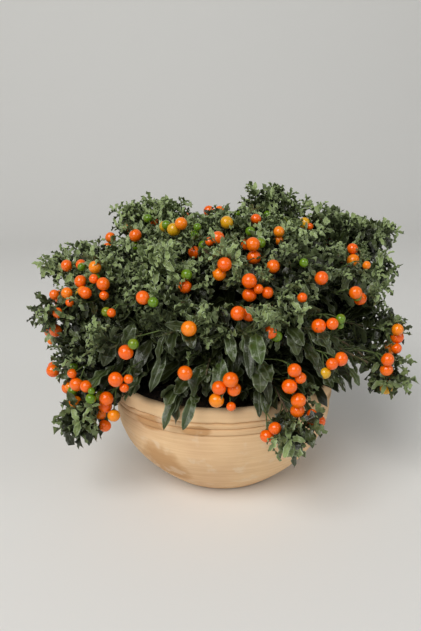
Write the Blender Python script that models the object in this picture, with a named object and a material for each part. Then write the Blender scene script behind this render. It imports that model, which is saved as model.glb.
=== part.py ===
"""A potted Jerusalem cherry (Solanum pseudocapsicum): a bushy evergreen in a wide terracotta bowl.

Standalone Blender script. Metres, +Z up. The origin is the middle of the bowl's flat underside,
+X is the plant's right and -Y its front. Every separate piece is one named object:
the bowl, the potting soil, the woody stems with their grown-on branches, one leafy shoot at
the end of each branch, and the trusses of berries seated on the branches' sides.
"""

import math

import bmesh
import bpy
from mathutils import Matrix, Quaternion, Vector
from mathutils.bvhtree import BVHTree
from mathutils.geometry import interpolate_bezier

MM = 0.001
GAP = 0.3 * MM  # clearance between pieces that touch
UP = Vector((0, 0, 1))

# Bowl
BOWL_HEIGHT = 122 * MM
BASE_RADIUS = 62 * MM
BELLY_RADIUS = 121 * MM
BELLY_HEIGHT = 85 * MM  # above it the wall stands upright
WALL = 9 * MM
FLOOR = 10 * MM
BEAD_RADIUS = 124.5 * MM
BAND_RADIUS = 126 * MM
BAND_DEPTH = 13.3 * MM  # the plain band under the rim
BOWL_SIDES = 36
DRAIN_RADIUS = 5 * MM
DRAIN_CIRCLE = 32 * MM
DRAINS = 3

# Soil
SOIL_LEVEL = BOWL_HEIGHT - 12 * MM  # where it meets the wall
SOIL_CROWN = 3 * MM  # how much higher it is in the middle

# Stems and branches
ROOT_DEPTH = 26 * MM
TRUNK_RADIUS = 4.4 * MM
TRUNK_TOP_RADIUS = 3.4 * MM
TRUNK_SIDES = 8
BRANCH_RADIUS = 2.1 * MM
TWIG_RADIUS = 1.35 * MM
TIP_RADIUS = 0.8 * MM
BRANCH_SIDES = 5
BRANCH_STEPS = 5
TWIG_STEPS = 3
BRANCH_SHARE = 0.7  # the woody part of a branch; the leafy shoot is the rest
STIFFNESS = 0.36  # how far a branch keeps its first and last direction, as a share of its length

# Leaves
LEAF_THICKNESS = 1.0 * MM
LONG_LEAF = 44 * MM
SHORT_LEAF = 22 * MM
TIP_LEAF = 18 * MM  # how far the last leaf reaches past the twig
LEAF_SLIMNESS = 0.38  # width over length
LEAVES_PER_SHOOT = 5
GOLDEN_ANGLE = math.radians(137.5)
LEAF_TRIES = 9

# Berries
BERRY_RADIUS = 6.8 * MM
PEDUNCLE = 7 * MM
PEDICEL = 9 * MM
STALK_RADIUS = 0.8 * MM
TRUSS_SPREAD = math.radians(42)
TRUSS_TRIES = 16
BERRY_SIDES = 8
BERRY_RINGS = 4
TRUSS_SEAT = 19  # of the 20 equal steps along the woody part of the branch

# Each stem: its name, its azimuth and reach at the soil, and its azimuth, reach and height at the fork.
# Each of its branches: azimuth, reach and height of the last leaf's tip, and the slope of the tip above level.
# A branch marked with a berry count carries a truss. Degrees and millimetres.
STEMS = [
    ("stem_middle", (100, 4), (110, 10, 188), [
        (104, 62, 297, 75, 0), (333, 26, 291, 80, 3), (116, 130, 303, 58, 4), (63, 146, 317, 62, 4),
        (276, 98, 272, 48, 4),
    ]),
    ("stem_right", (0, 24), (0, 42, 160), [
        (27, 176, 280, 42, 3), (16, 214, 258, 22, 3), (5, 199, 226, 12, 0), (343, 158, 243, 28, 3),
        (349, 206, 168, -8, 0), (341, 196, 120, -38, 0), (325, 188, 152, -14, 4),
    ]),
    ("stem_back", (72, 24), (72, 42, 160), [
        (90, 163, 241, 22, 3), (48, 196, 212, 12, 0), (70, 182, 152, -16, 0),
    ]),
    ("stem_back_left", (144, 24), (144, 42, 160), [
        (136, 172, 293, 42, 3), (160, 178, 258, 30, 0), (126, 188, 229, 14, 3), (151, 199, 191, 0, 0),
    ]),
    ("stem_left", (202, 24), (202, 42, 160), [
        (174, 205, 242, 18, 4), (197, 205, 200, 4, 3), (206, 187, 162, -6, 0), (211, 188, 80, -58, 2),
        (203, 152, 250, 30, 0), (228, 176, 184, -2, 3),
    ]),
    ("stem_front", (277, 24), (277, 42, 158), [
        (232, 116, 268, 46, 3), (316, 120, 262, 44, 3), (249, 170, 206, 8, 0), (277, 168, 207, 8, 4),
        (307, 172, 198, 4, 0), (292, 164, 88, -58, 2), (263, 158, 160, -16, 4),
    ]),
]


def clear_scene():
    for old in list(bpy.data.objects):
        bpy.data.objects.remove(old)


def material(name, color, roughness):
    made = bpy.data.materials.new(name)
    made.use_nodes = True
    shader = made.node_tree.nodes["Principled BSDF"]
    shader.inputs["Base Color"].default_value = (*color, 1)
    shader.inputs["Roughness"].default_value = roughness
    shader.inputs["Metallic"].default_value = 0
    return made


def new_object(name, bm, finish, smooth=True):
    """An object made from bm, which is used up, with its faces pointing out."""
    bmesh.ops.recalc_face_normals(bm, faces=bm.faces[:])
    mesh = bpy.data.meshes.new(name)
    bm.to_mesh(mesh)
    bm.free()
    mesh.materials.append(finish)
    if smooth:
        mesh.shade_smooth()
        mesh.set_sharp_from_angle(angle=math.radians(50))
    made = bpy.data.objects.new(name, mesh)
    bpy.context.scene.collection.objects.link(made)
    return made


def apply_booleans(target, others, operation):
    """The target's mesh becomes its union with, or its difference from, the others, which are removed."""
    for other in others:
        modifier = target.modifiers.new("join", "BOOLEAN")
        modifier.operation = operation
        modifier.object = other
        modifier.solver = "EXACT"
    bpy.context.view_layer.update()
    evaluated = target.evaluated_get(bpy.context.evaluated_depsgraph_get())
    result = bpy.data.meshes.new_from_object(evaluated)
    target.modifiers.clear()
    old = target.data
    target.data = result
    bpy.data.meshes.remove(old)
    for other in others:
        used = other.data
        bpy.data.objects.remove(other)
        bpy.data.meshes.remove(used)
    return target


def polar(azimuth, reach, height):
    """The point at a compass angle in degrees, a reach from the axis and a height, both in millimetres."""
    angle = math.radians(azimuth)
    return Vector((math.cos(angle) * reach, math.sin(angle) * reach, height)) * MM


def frames_along(points):
    """A frame at each point, with Z along the path and no twist between them."""
    last = len(points) - 1
    tangents = [(points[min(i + 1, last)] - points[max(i - 1, 0)]).normalized() for i in range(last + 1)]
    turn = tangents[0].to_track_quat("Z", "Y")
    frames = []
    for i, point in enumerate(points):
        if i:
            turn = tangents[i - 1].rotation_difference(tangents[i]) @ turn
        frames.append(Matrix.Translation(point) @ turn.to_matrix().to_4x4())
    return frames


def tube(frames, radii, sides):
    """A closed round bar through the frames, made by extruding its first end from frame to frame."""
    bm = bmesh.new()
    bmesh.ops.create_circle(bm, cap_ends=True, radius=radii[0], segments=sides, matrix=frames[0])
    end = bm.faces[:][0]
    for i in range(1, len(frames)):
        step = bmesh.ops.extrude_face_region(bm, geom=[end, *end.edges])
        end = next(item for item in step["geom"] if isinstance(item, bmesh.types.BMFace))
        growth = Matrix.Scale(radii[i] / radii[i - 1], 4)
        move = frames[i] @ growth @ frames[i - 1].inverted()
        bmesh.ops.transform(bm, matrix=move, verts=end.verts[:])
    return bm


def bar(start, end, radius, sides=5):
    """A straight round bar from one point to another."""
    return tube(frames_along([start, end]), [radius] * 2, sides)


def tapered(first, last, count):
    return [first + (last - first) * i / (count - 1) for i in range(count)]


def turned(profile, sides):
    """The solid that the profile of (radius, height) points sweeps about Z. Its ends are on the axis."""
    bm = bmesh.new()
    verts = [bm.verts.new((radius, 0, height)) for radius, height in profile]
    edges = [bm.edges.new(pair) for pair in zip(verts, verts[1:])]
    bmesh.ops.spin(
        bm, geom=verts + edges, cent=(0, 0, 0), axis=(0, 0, 1),
        angle=math.tau, steps=sides, use_merge=True, use_duplicate=False,
    )
    bmesh.ops.remove_doubles(bm, verts=bm.verts[:], dist=0.01 * MM)
    return bm


def body_radius(height):
    """The bowl's outer radius below its neck: a parabola from the base up to the belly."""
    share = min(height / BELLY_HEIGHT, 1)
    return BASE_RADIUS + (BELLY_RADIUS - BASE_RADIUS) * (1 - (1 - share) ** 2)


def inner_profile(gap, steps=4):
    """Points up the bowl's inner wall, from the floor to the soil's level, set in by a level gap."""
    points = []
    for i in range(steps + 1):
        height = FLOOR + (SOIL_LEVEL - FLOOR) * i / steps
        points.append((body_radius(height) - WALL - gap, height))
    return points


def make_bowl(finish):
    band_foot = BOWL_HEIGHT - BAND_DEPTH
    neck = band_foot - 16.5 * MM
    bead = (neck + band_foot) / 2
    chamfer = 1.5 * MM
    body_steps = 6
    profile = [(0, 0), (BASE_RADIUS - chamfer, 0)]
    for i in range(body_steps + 1):
        height = chamfer + (neck - chamfer) * i / body_steps
        profile.append((body_radius(height), height))
    profile += [
        (BELLY_RADIUS - 0.8 * MM, neck + 1.5 * MM),
        (BEAD_RADIUS - 1 * MM, bead - 4.5 * MM),
        (BEAD_RADIUS, bead - 1 * MM),
        (BEAD_RADIUS - 1.2 * MM, bead + 3.5 * MM),
        (BELLY_RADIUS + 0.5 * MM, band_foot - 1 * MM),
        (BAND_RADIUS - 0.8 * MM, band_foot),
        (BAND_RADIUS, band_foot + 4 * MM),
        (BAND_RADIUS - 0.6 * MM, BOWL_HEIGHT - 4 * MM),
        (BAND_RADIUS - 3 * MM, BOWL_HEIGHT - 0.8 * MM),
        (BAND_RADIUS - 6 * MM, BOWL_HEIGHT),
        (BAND_RADIUS - 10 * MM, BOWL_HEIGHT - 1 * MM),
    ]
    profile.append((BELLY_RADIUS - WALL, BOWL_HEIGHT - 8 * MM))
    profile += reversed(inner_profile(0))
    profile.append((0, FLOOR))
    bowl = new_object("terracotta_bowl", turned(profile, BOWL_SIDES), finish)
    drains = []
    for i in range(DRAINS):
        place = polar(77 + 360 * i / DRAINS, DRAIN_CIRCLE / MM, FLOOR / MM / 2)
        bm = bmesh.new()
        bmesh.ops.create_cone(
            bm, cap_ends=True, segments=12, radius1=DRAIN_RADIUS, radius2=DRAIN_RADIUS,
            depth=3 * FLOOR, matrix=Matrix.Translation(place),
        )
        drains.append(new_object(f"drain_cutter_{i + 1}", bm, finish))
    return apply_booleans(bowl, drains, "DIFFERENCE")


def make_soil(finish, sockets):
    wall = inner_profile(GAP * 1.4)
    foot = (wall[0][0], FLOOR + GAP)
    edge = wall[-1][0]
    profile = [(0, foot[1]), foot, *wall[1:]]
    for share in (0.8, 0.45):
        profile.append((edge * share, SOIL_LEVEL + SOIL_CROWN * (1 - share**2)))
    profile.append((0, SOIL_LEVEL + SOIL_CROWN))
    soil = new_object("potting_soil", turned(profile, BOWL_SIDES), finish)
    return apply_booleans(soil, sockets, "DIFFERENCE")


def trunk_points(foot, fork, extra=0.0):
    """The trunk's line, from its buried foot up to its fork. It leaves the soil upright."""
    low = polar(*foot, SOIL_LEVEL / MM) - UP * (ROOT_DEPTH + extra)
    high = polar(*fork)
    rise = (high - low).length * 0.45
    return interpolate_bezier(low, low + UP * rise, high - UP * rise * 0.6, high, 6)


def branch_line(fork, tip):
    """The frames along a whole branch, woody part and shoot, as close readings of one smooth curve."""
    azimuth, reach, height, slope, _ = tip
    start, end = polar(*fork), polar(azimuth, reach, height)
    outward = polar(azimuth, 1, 0).normalized()
    leaving = (outward + UP * (1.1 if height > fork[2] else 0.75)).normalized()
    pitch = math.radians(slope)
    arriving = outward * math.cos(pitch) + UP * math.sin(pitch)
    end -= arriving * TIP_LEAF
    pull = (end - start).length * STIFFNESS
    return frames_along(interpolate_bezier(start, start + leaving * pull, end - arriving * pull, end, 61))


def stretch(line, first, last, count):
    """count frames of a closely read line, between two shares of it."""
    top = len(line) - 1
    return [line[round(top * (first + (last - first) * i / (count - 1)))].copy() for i in range(count)]


def make_stem(name, foot, fork, branches, finish):
    """One woody stem: a trunk and the branches that grow from its fork, as one solid."""
    trunk = frames_along(trunk_points(foot, fork))
    bars = [tube(trunk, tapered(TRUNK_RADIUS, TRUNK_TOP_RADIUS, len(trunk)), TRUNK_SIDES)]
    for tip in branches:
        frames = stretch(branch_line(fork, tip), 0, BRANCH_SHARE, BRANCH_STEPS + 1)
        frames[0].translation -= UP * TRUNK_TOP_RADIUS * 0.8
        bars.append(tube(frames, tapered(BRANCH_RADIUS, TWIG_RADIUS, len(frames)), BRANCH_SIDES))
    objects = [new_object(f"{name}_{i}", bm, finish) for i, bm in enumerate(bars)]
    objects[0].name = name
    return apply_booleans(objects[0], objects[1:], "UNION")


def make_socket(foot, fork, finish):
    """The cutter for the hole that a trunk fills in the soil."""
    frames = frames_along(trunk_points(foot, fork, GAP))
    radii = [radius + GAP for radius in tapered(TRUNK_RADIUS, TRUNK_TOP_RADIUS, len(frames))]
    return new_object("socket_cutter", tube(frames, radii, TRUNK_SIDES), finish)


def leaf(place, length, width):
    """A pointed lens, arched downwards, that grows along the place's X axis. Its foot is in the twig."""
    bm = bmesh.new()
    lay_down = Matrix.Rotation(math.radians(90), 4, "Y")
    bmesh.ops.create_uvsphere(bm, u_segments=4, v_segments=3, radius=0.5, matrix=lay_down)
    for vert in bm.verts:
        along = vert.co.x + 0.5
        fullness = 1.15 - 0.3 * along
        arch = 0.22 * length * along * along
        vert.co = Vector((
            along * length - TIP_RADIUS,
            vert.co.y * width * fullness,
            vert.co.z * LEAF_THICKNESS * (1.5 - along) - arch,
        ))
    bmesh.ops.transform(bm, matrix=place, verts=bm.verts[:])
    return bm


def leaf_place(frame, turn, lift):
    """Where a leaf leaves the twig: turned about the twig's own axis and lifted towards its end."""
    outward = frame.to_3x3() @ Vector((math.cos(turn), math.sin(turn), 0))
    along = frame.to_3x3() @ UP
    direction = (outward * math.cos(lift) + along * math.sin(lift)).normalized()
    side = UP.cross(direction)
    if side.length < 0.1:
        side = Vector((0, 1, 0)).cross(direction)
    side.normalize()
    top = direction.cross(side)
    turned_to = Matrix((direction, side, top)).transposed().to_4x4()
    return Matrix.Translation(frame.translation) @ turned_to


def surface_tree(obj):
    bm = bmesh.new()
    bm.from_mesh(obj.data)
    tree = BVHTree.FromBMesh(bm)
    bm.free()
    return tree


def has_room(bm, trees):
    """True if a slightly larger copy of the shape cuts no surface in trees."""
    grown = bm.copy()
    centre = sum((vert.co for vert in grown.verts), Vector()) / len(grown.verts)
    for vert in grown.verts:
        vert.co += (vert.co - centre).normalized() * 2 * GAP
    tree = BVHTree.FromBMesh(grown)
    grown.free()
    return not any(tree.overlap(other) for other in trees)


def make_shoot(name, fork, tip, finish, taken):
    """The leafy end of a branch: a green twig and the leaves that have room round it, as one solid."""
    line = branch_line(fork, tip)
    frames = stretch(line, BRANCH_SHARE, 1, TWIG_STEPS + 1)
    frames[0].translation += frames[0].to_3x3() @ UP * GAP
    twig = new_object(name, tube(frames, tapered(TWIG_RADIUS, TIP_RADIUS, len(frames)), 5), finish)
    blades, own = [], []
    for i in range(LEAVES_PER_SHOOT):
        share = (i + 0.7) / LEAVES_PER_SHOOT
        last = i == LEAVES_PER_SHOOT - 1
        step = min(int(share * TWIG_STEPS), TWIG_STEPS - 1)
        seat = frames[step].lerp(frames[step + 1], 0.9 if last else share * TWIG_STEPS - step)
        length = LONG_LEAF + (SHORT_LEAF - LONG_LEAF) * share
        for attempt in range(LEAF_TRIES):
            turn = i * GOLDEN_ANGLE + attempt * math.radians(40)
            lift = math.radians(80 if last else 25 + 20 * share + 4 * attempt)
            blade = leaf(leaf_place(seat, turn, lift), length * (1 - 0.05 * attempt), length * LEAF_SLIMNESS)
            if has_room(blade, taken + own):
                own.append(BVHTree.FromBMesh(blade))
                blades.append(new_object(f"{name}_leaf_{i}", blade, finish))
                break
            blade.free()
    return apply_booleans(twig, blades, "UNION")


def stalked_berry(foot, direction):
    """A berry and its stalk, turned in one piece, standing on foot."""
    profile = [(0, 0), (STALK_RADIUS, 0)]
    for i in range(BERRY_RINGS + 1):
        angle = math.pi * (i / BERRY_RINGS)
        ring = BERRY_RADIUS * math.sin(angle)
        height = PEDICEL + BERRY_RADIUS * (1 - math.cos(angle))
        profile.append((max(ring, STALK_RADIUS) if i < BERRY_RINGS else 0, height))
    bm = turned(profile, BERRY_SIDES)
    upright = direction.to_track_quat("Z", "Y").to_matrix().to_4x4()
    bmesh.ops.transform(bm, matrix=Matrix.Translation(foot) @ upright, verts=bm.verts[:])
    return bm


def truss_parts(seat, turn, count):
    """A short peduncle on the branch's side and its stalked berries, which leave it one after another."""
    outward = (seat.to_3x3() @ Vector((math.cos(turn), math.sin(turn), 0.45))).normalized()
    foot = seat.translation + outward * (TWIG_RADIUS * 1.25 + GAP)
    axis = outward.to_track_quat("Z", "Y")
    parts = [bar(foot, foot + outward * PEDUNCLE, STALK_RADIUS * 1.3)]
    for i in range(count):
        lean = Quaternion(UP, i * math.tau / count + turn) @ Quaternion((0, 1, 0), TRUSS_SPREAD)
        node = foot + outward * (PEDUNCLE - (0.6 + 1.1 * i) * STALK_RADIUS)
        parts.append(stalked_berry(node, axis @ (lean @ UP)))
    return parts


def make_truss(name, fork, tip, side, finish, taken):
    """A truss of berries as one solid, turned about its branch until it has room."""
    seat = stretch(branch_line(fork, tip), 0, BRANCH_SHARE, 21)[TRUSS_SEAT]
    for attempt in range(TRUSS_TRIES):
        parts = truss_parts(seat, side + attempt * math.tau / TRUSS_TRIES, tip[4])
        if all(has_room(bm, taken) for bm in parts[1:]):
            pieces = [new_object(f"{name}_{i}", bm, finish) for i, bm in enumerate(parts)]
            pieces[0].name = name
            return apply_booleans(pieces[0], pieces[1:], "UNION")
        for bm in parts:
            bm.free()
    raise RuntimeError(f"{name} has no room on its branch")


def main():
    clear_scene()
    terracotta = material("terracotta", (0.72, 0.47, 0.28), 0.75)
    earth = material("earth", (0.035, 0.022, 0.014), 0.95)
    bark = material("bark", (0.16, 0.12, 0.06), 0.8)
    leafage = material("leafage", (0.045, 0.10, 0.045), 0.5)
    berry = material("berry", (0.85, 0.13, 0.02), 0.2)

    bowl = make_bowl(terracotta)
    sockets = [make_socket(foot, fork, earth) for _, foot, fork, _ in STEMS]
    soil = make_soil(earth, sockets)
    taken = [surface_tree(bowl), surface_tree(soil)]
    for name, foot, fork, branches in STEMS:
        taken.append(surface_tree(make_stem(name, foot, fork, branches, bark)))

    shoots = [(fork, tip) for _, _, fork, branches in STEMS for tip in branches]
    twigs = []
    for fork, tip in shoots:
        frames = stretch(branch_line(fork, tip), BRANCH_SHARE, 1, TWIG_STEPS + 1)
        twigs.append(BVHTree.FromBMesh(tube(frames, [TWIG_RADIUS * 1.5] * len(frames), 5)))
    number = 0
    for i, (fork, tip) in enumerate(shoots):
        if tip[4]:
            number += 1
            truss = make_truss(f"berry_truss_{number:02d}", fork, tip, i * GOLDEN_ANGLE, berry, taken + twigs)
            taken.append(surface_tree(truss))
    for i, (fork, tip) in enumerate(shoots):
        others = twigs[:i] + twigs[i + 1:]
        shoot = make_shoot(f"leafy_shoot_{i + 1:02d}", fork, tip, leafage, taken + others)
        taken.append(surface_tree(shoot))


main()
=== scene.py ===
"""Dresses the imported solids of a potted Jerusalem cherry: a wide terracotta bowl, its potting mix,
six woody stems, frilled foliage on thin green twigs, and berries at every stage of ripeness."""

import functools
import math
from collections import namedtuple

import bmesh
import bpy
import numpy as np
from bpy.props import FloatProperty, FloatVectorProperty, IntProperty, PointerProperty
from bpy.types import Operator, Panel, PropertyGroup
from mathutils import Matrix, Vector, noise
from mathutils.geometry import interpolate_bezier
from mathutils.kdtree import KDTree


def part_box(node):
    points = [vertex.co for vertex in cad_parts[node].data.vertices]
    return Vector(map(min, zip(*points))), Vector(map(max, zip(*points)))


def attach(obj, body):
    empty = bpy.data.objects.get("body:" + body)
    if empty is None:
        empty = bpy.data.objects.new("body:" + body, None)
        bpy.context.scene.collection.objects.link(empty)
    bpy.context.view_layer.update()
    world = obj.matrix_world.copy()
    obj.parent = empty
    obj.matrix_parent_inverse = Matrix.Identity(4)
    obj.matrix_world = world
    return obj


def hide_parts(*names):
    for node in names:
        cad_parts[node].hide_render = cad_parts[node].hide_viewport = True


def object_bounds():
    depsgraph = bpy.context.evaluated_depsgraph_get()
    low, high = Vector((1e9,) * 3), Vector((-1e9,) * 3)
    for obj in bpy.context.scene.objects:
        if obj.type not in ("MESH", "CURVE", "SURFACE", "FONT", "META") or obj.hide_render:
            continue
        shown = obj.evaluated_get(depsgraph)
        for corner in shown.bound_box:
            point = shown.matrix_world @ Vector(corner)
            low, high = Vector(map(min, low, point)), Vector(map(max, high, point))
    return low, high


bl_info = {
    "name": "Potted Jerusalem Cherry",
    "version": (1, 0, 0),
    "blender": (4, 5, 0),
    "location": "View3D > Sidebar > Cherry",
    "description": "Bowl, soil, stems, foliage and berries of a potted Jerusalem cherry",
    "category": "Add Mesh",
}

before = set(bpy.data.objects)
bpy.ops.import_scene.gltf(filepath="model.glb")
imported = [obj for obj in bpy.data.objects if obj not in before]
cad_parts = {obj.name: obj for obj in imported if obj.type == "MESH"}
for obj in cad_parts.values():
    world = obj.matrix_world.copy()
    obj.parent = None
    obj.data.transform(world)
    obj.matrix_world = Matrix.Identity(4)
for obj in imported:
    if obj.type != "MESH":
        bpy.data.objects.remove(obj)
CAD_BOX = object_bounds()

MM = 0.001
UP = np.array((0.0, 0.0, 1.0))
GOLDEN_DEGREES, GOLDEN_SHARE = 137.5, 0.618  # steps that spread things evenly
GOLDEN_ANGLE = math.radians(GOLDEN_DEGREES)
BOWL_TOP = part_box("terracotta_bowl")[1].z
SOIL_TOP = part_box("potting_soil")[1].z
SOIL_EDGE = 0.110  # the soil's height at the wall
HALF_WIDTH, HALF_DEPTH = (CAD_BOX[1].x - CAD_BOX[0].x) / 2, (CAD_BOX[1].y - CAD_BOX[0].y) / 2
HEIGHT = CAD_BOX[1].z
HEART = np.array((0, (CAD_BOX[0].y + CAD_BOX[1].y) / 2, 0.576 * HEIGHT))  # the middle of the plant
VIEWPOINT = np.array((-0.0118, -0.645, 0.3608))  # where the front of the plant is looked at from
VIEW_TILT, VIEW_ROLL, LENS = math.radians(90 - 15.6), -0.028, 34.2

# The plant's rounded outline: how far it reaches to the sides, above and below its middle as shares of the
# solids' box, how square its curve is, and how much its middle rises towards the back.
OUTLINE_SIDES, OUTLINE_ABOVE, OUTLINE_BELOW, OUTLINE_POWER, OUTLINE_TILT = 0.98, 0.374, 0.443, 2.2, 0.12

# Each stem: its name, its azimuth and reach at the soil, and its azimuth, reach and height at the fork.
# Each of its branches: azimuth, reach and height of the tip, and the slope of the tip above level.
# Degrees and millimetres, as in the solids.
STEMS = [
    ("middle", (100, 4), (110, 10, 188), [
        (104, 62, 290, 75), (333, 26, 291, 80), (121, 134, 300, 58), (62, 146, 317, 62), (276, 98, 272, 48),
    ]),
    ("right", (0, 24), (0, 42, 160), [
        (27, 176, 280, 42), (16, 214, 263, 14), (5, 199, 226, 12), (343, 158, 243, 28),
        (349, 204, 164, -8), (341, 196, 113, -42), (325, 188, 152, -14),
    ]),
    ("back", (72, 24), (72, 42, 160), [(90, 163, 241, 22), (48, 196, 212, 12), (70, 182, 152, -16)]),
    ("back_left", (144, 24), (144, 42, 160), [
        (134, 170, 293, 42), (160, 178, 250, 28), (126, 188, 229, 14), (151, 199, 191, 0),
    ]),
    ("left", (202, 24), (202, 42, 160), [
        (174, 205, 242, 18), (197, 205, 200, 4), (206, 187, 162, -6), (213, 181, 80, -62),
        (203, 152, 250, 30), (228, 176, 184, -2),
    ]),
    ("front", (277, 24), (277, 42, 158), [
        (232, 116, 268, 46), (316, 120, 262, 44), (249, 170, 206, 8), (277, 168, 207, 8),
        (307, 172, 198, 4), (294, 164, 88, -58), (263, 158, 160, -16),
    ]),
]
TRUNK_FOOT, TRUNK_RINGS = 84, 16  # the trunks start in the soil, at this height in millimetres
TRUSSES = 20  # as many as the solids have

# Berries by region of the plant's rounded outline: the first and last azimuth and the lowest and highest
# elevation seen from its middle, in degrees, the number of clusters, and the share of berries that are
# green, yellow, orange and red.
BERRY_REGIONS = [
    (180, 226, -17, 30, 33, (0.26, 0.03, 0.21, 0.5)),  # left side
    (226, 300, -22, 38, 23, (0.2, 0.03, 0.17, 0.6)),  # front
    (300, 360, -20, 36, 20, (0.28, 0.03, 0.22, 0.47)),  # right side
    (214, 300, -28, -2, 18, (0.12, 0.02, 0.2, 0.66)),  # low at the front
    (180, 360, 44, 74, 10, (0.55, 0.08, 0.17, 0.2)),  # crown
    (20, 160, 30, 46, 18, (0.42, 0.06, 0.26, 0.26)),  # back of the crown
    (8, 172, -24, 28, 28, (0.25, 0.05, 0.25, 0.45)),  # back
]
RIPENESS = (0.08, 0.42, 0.7, 0.95)
CLUSTER_COUNTS, COUNT_ODDS = (1, 2, 3, 4), (0.28, 0.36, 0.22, 0.14)  # berries in a cluster
BERRY_SIZES, SIZE_ODDS = (1, 0.85, 0.68), (0.66, 0.23, 0.11)  # as shares of a full berry
GREEN_SIZE = 0.76  # and of an unripe one
OPEN_SHARE = 0.56  # the share of berries that hang in front of the leaves
TOUCHING, APART = 0.97, 1.25  # the room between berries of one cluster and of two, in their radii
KNOT_REACH = 13 * MM  # how far above and behind its berries a cluster's stalks meet
NEAR_WOOD = 14 * MM  # a cluster grows only where a shoot is this close
LONGEST_STALK = 21 * MM  # and each of its berries this close
BESIDE_BOWL = 136 * MM  # a berry nearer than this to the axis stays above the rim
OVER_RIM = 134 * MM  # a leaf that hangs straight down starts further out than this

# Where the crown is rounded out between two branches: the stem and the number of each, and how far each
# row of shoots steps down and inwards, in millimetres.
CROWN_SPANS = [("middle", 3, "right", 0), ("right", 0, "right", 1), ("back_left", 0, "middle", 2)]
CROWN_ROWS = [(3, 4), (13, 14), (25, 32)]
CROWN_SHARES = (0.1, 0.3, 0.5, 0.7, 0.9)

# Where the sprays grow, and where the shoots that fill the gaps between them do.
SPRAY_START, SPRAY_SPAN = 0.42, 0.55  # the part of a branch that carries side shoots
LAST_LEAF = 18 * MM  # a branch ends this far inside the tip of its last leaf
SHOOT_LENGTH = 32 * MM  # the usual one, and the one that the number of leaves is for
LOW_TIP = 130  # a branch whose tip is lower, in millimetres, carries more of them
SHOOT_GAP = 16 * MM  # between the ends of the shoots that fill the gaps
FILLING_LENGTH = 34 * MM
FILLED_DEPTH = 1.35  # how far down from the top these go, where one is level with the middle
LOWEST_SHOOT, LOWEST_SIDE_SHOOT = 138 * MM, 126 * MM
SIDE_REACH = 110 * MM  # the plant's sides start here
FRONT_START, FRONT_SWEEP = 216, 138  # degrees round the bowl where large leaves hang
HANGING_TOP, HANGING_ROWS, HANGING_STEP = 204, 4, 20  # the rows that they hang from, in millimetres
LEAFY_SHARE = 0.75  # the part of a shoot, back from its tip, that has leaves
BARE_SHARE = 0.4  # a shoot that keeps less of its leaves than this loses them all, and is cut to this length
SHOOTS_POINT_FROM = np.array((0, 0, 150)) * MM
TRUSSES_POINT_TO = np.array((0, 0, 0.17))


# ---- small tools


def display(red, green, blue):
    """A colour in display values from 0 to 255, as the linear values that Blender keeps."""
    def linear(value):
        value /= 255
        return value / 12.92 if value <= 0.04045 else ((value + 0.055) / 1.055) ** 2.4
    return (linear(red), linear(green), linear(blue))


def polar(azimuth, reach, height):
    """The point at a compass angle in degrees, a reach from the axis and a height, both in millimetres."""
    angle = math.radians(azimuth)
    return np.array((math.cos(angle) * reach, math.sin(angle) * reach, height)) * MM


def unit(vectors):
    """Each vector one unit long."""
    return vectors / np.maximum(np.linalg.norm(vectors, axis=-1, keepdims=True), 1e-9)


def square_to(vectors, axis):
    """The unit part of each vector that is square to its axis."""
    return unit(vectors - (vectors * axis).sum(-1, keepdims=True) * axis)


def beside(axes):
    """A unit vector square to each axis."""
    return square_to(np.where(np.abs(axes[..., 2:]) > 0.9, np.array((1.0, 0, 0)), UP), axes)


def smooth_path(start, leaving, arriving, end, count):
    """Points on one smooth curve between two ends, pulled towards the two handles."""
    points = interpolate_bezier(Vector(start), Vector(leaving), Vector(arriving), Vector(end), count)
    return np.array([tuple(point) for point in points])


def along(path, shares):
    """The point or points at one or more shares of the way along a path."""
    steps = np.linspace(0, 1, len(path))
    return np.stack([np.interp(shares, steps, path[:, axis]) for axis in range(3)], axis=-1)


def mesh_of(bm, name, smooth=False):
    """The finished mesh of a bmesh, which is freed."""
    if smooth:
        for face in bm.faces:
            face.smooth = True
    mesh = bpy.data.meshes.new(name)
    bm.to_mesh(mesh)
    bm.free()
    return mesh


def coordinates(mesh):
    """The mesh's points as an array of xyz rows."""
    values = np.zeros(len(mesh.vertices) * 3)
    mesh.vertices.foreach_get("co", values)
    return values.reshape(-1, 3)


def repeated(template, points):
    """A mesh that holds the template once for each row of points, which its own points move to.
    It is doubled up, so that it is quick to make."""
    whole, block, count = bmesh.new(), template, len(points)
    while count:
        if count & 1:
            whole.from_mesh(block)
        count >>= 1
        if count:
            twice = bmesh.new()
            twice.from_mesh(block)
            twice.from_mesh(block)
            block = mesh_of(twice, "block")
    mesh = mesh_of(whole, template.name)
    mesh.vertices.foreach_set("co", np.ascontiguousarray(points, np.float32).ravel())
    mesh.update()
    return mesh


def set_values(mesh, name, values, domain="POINT"):
    """Keeps a value for each point or face, for the materials to read."""
    attribute = mesh.attributes.new(name, "FLOAT", domain)
    attribute.data.foreach_set("value", np.ascontiguousarray(values, np.float32).ravel())


def joined(name, meshes):
    """Several meshes as one."""
    bm = bmesh.new()
    for mesh in meshes:
        bm.from_mesh(mesh)
    return mesh_of(bm, name)


def linked(name, data):
    """A new object of the scene."""
    made = bpy.data.objects.new(name, data)
    bpy.context.scene.collection.objects.link(made)
    return made


def add_piece(name, mesh, finish, nodes):
    """Links the mesh as one piece of the plant, riding on the root body in place of its solids."""
    mesh.name = name
    mesh.materials.clear()
    mesh.materials.append(finish)
    piece = linked(name, mesh)
    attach(piece, "root")
    if nodes:
        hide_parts(*nodes)


# ---- shared shapes


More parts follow.
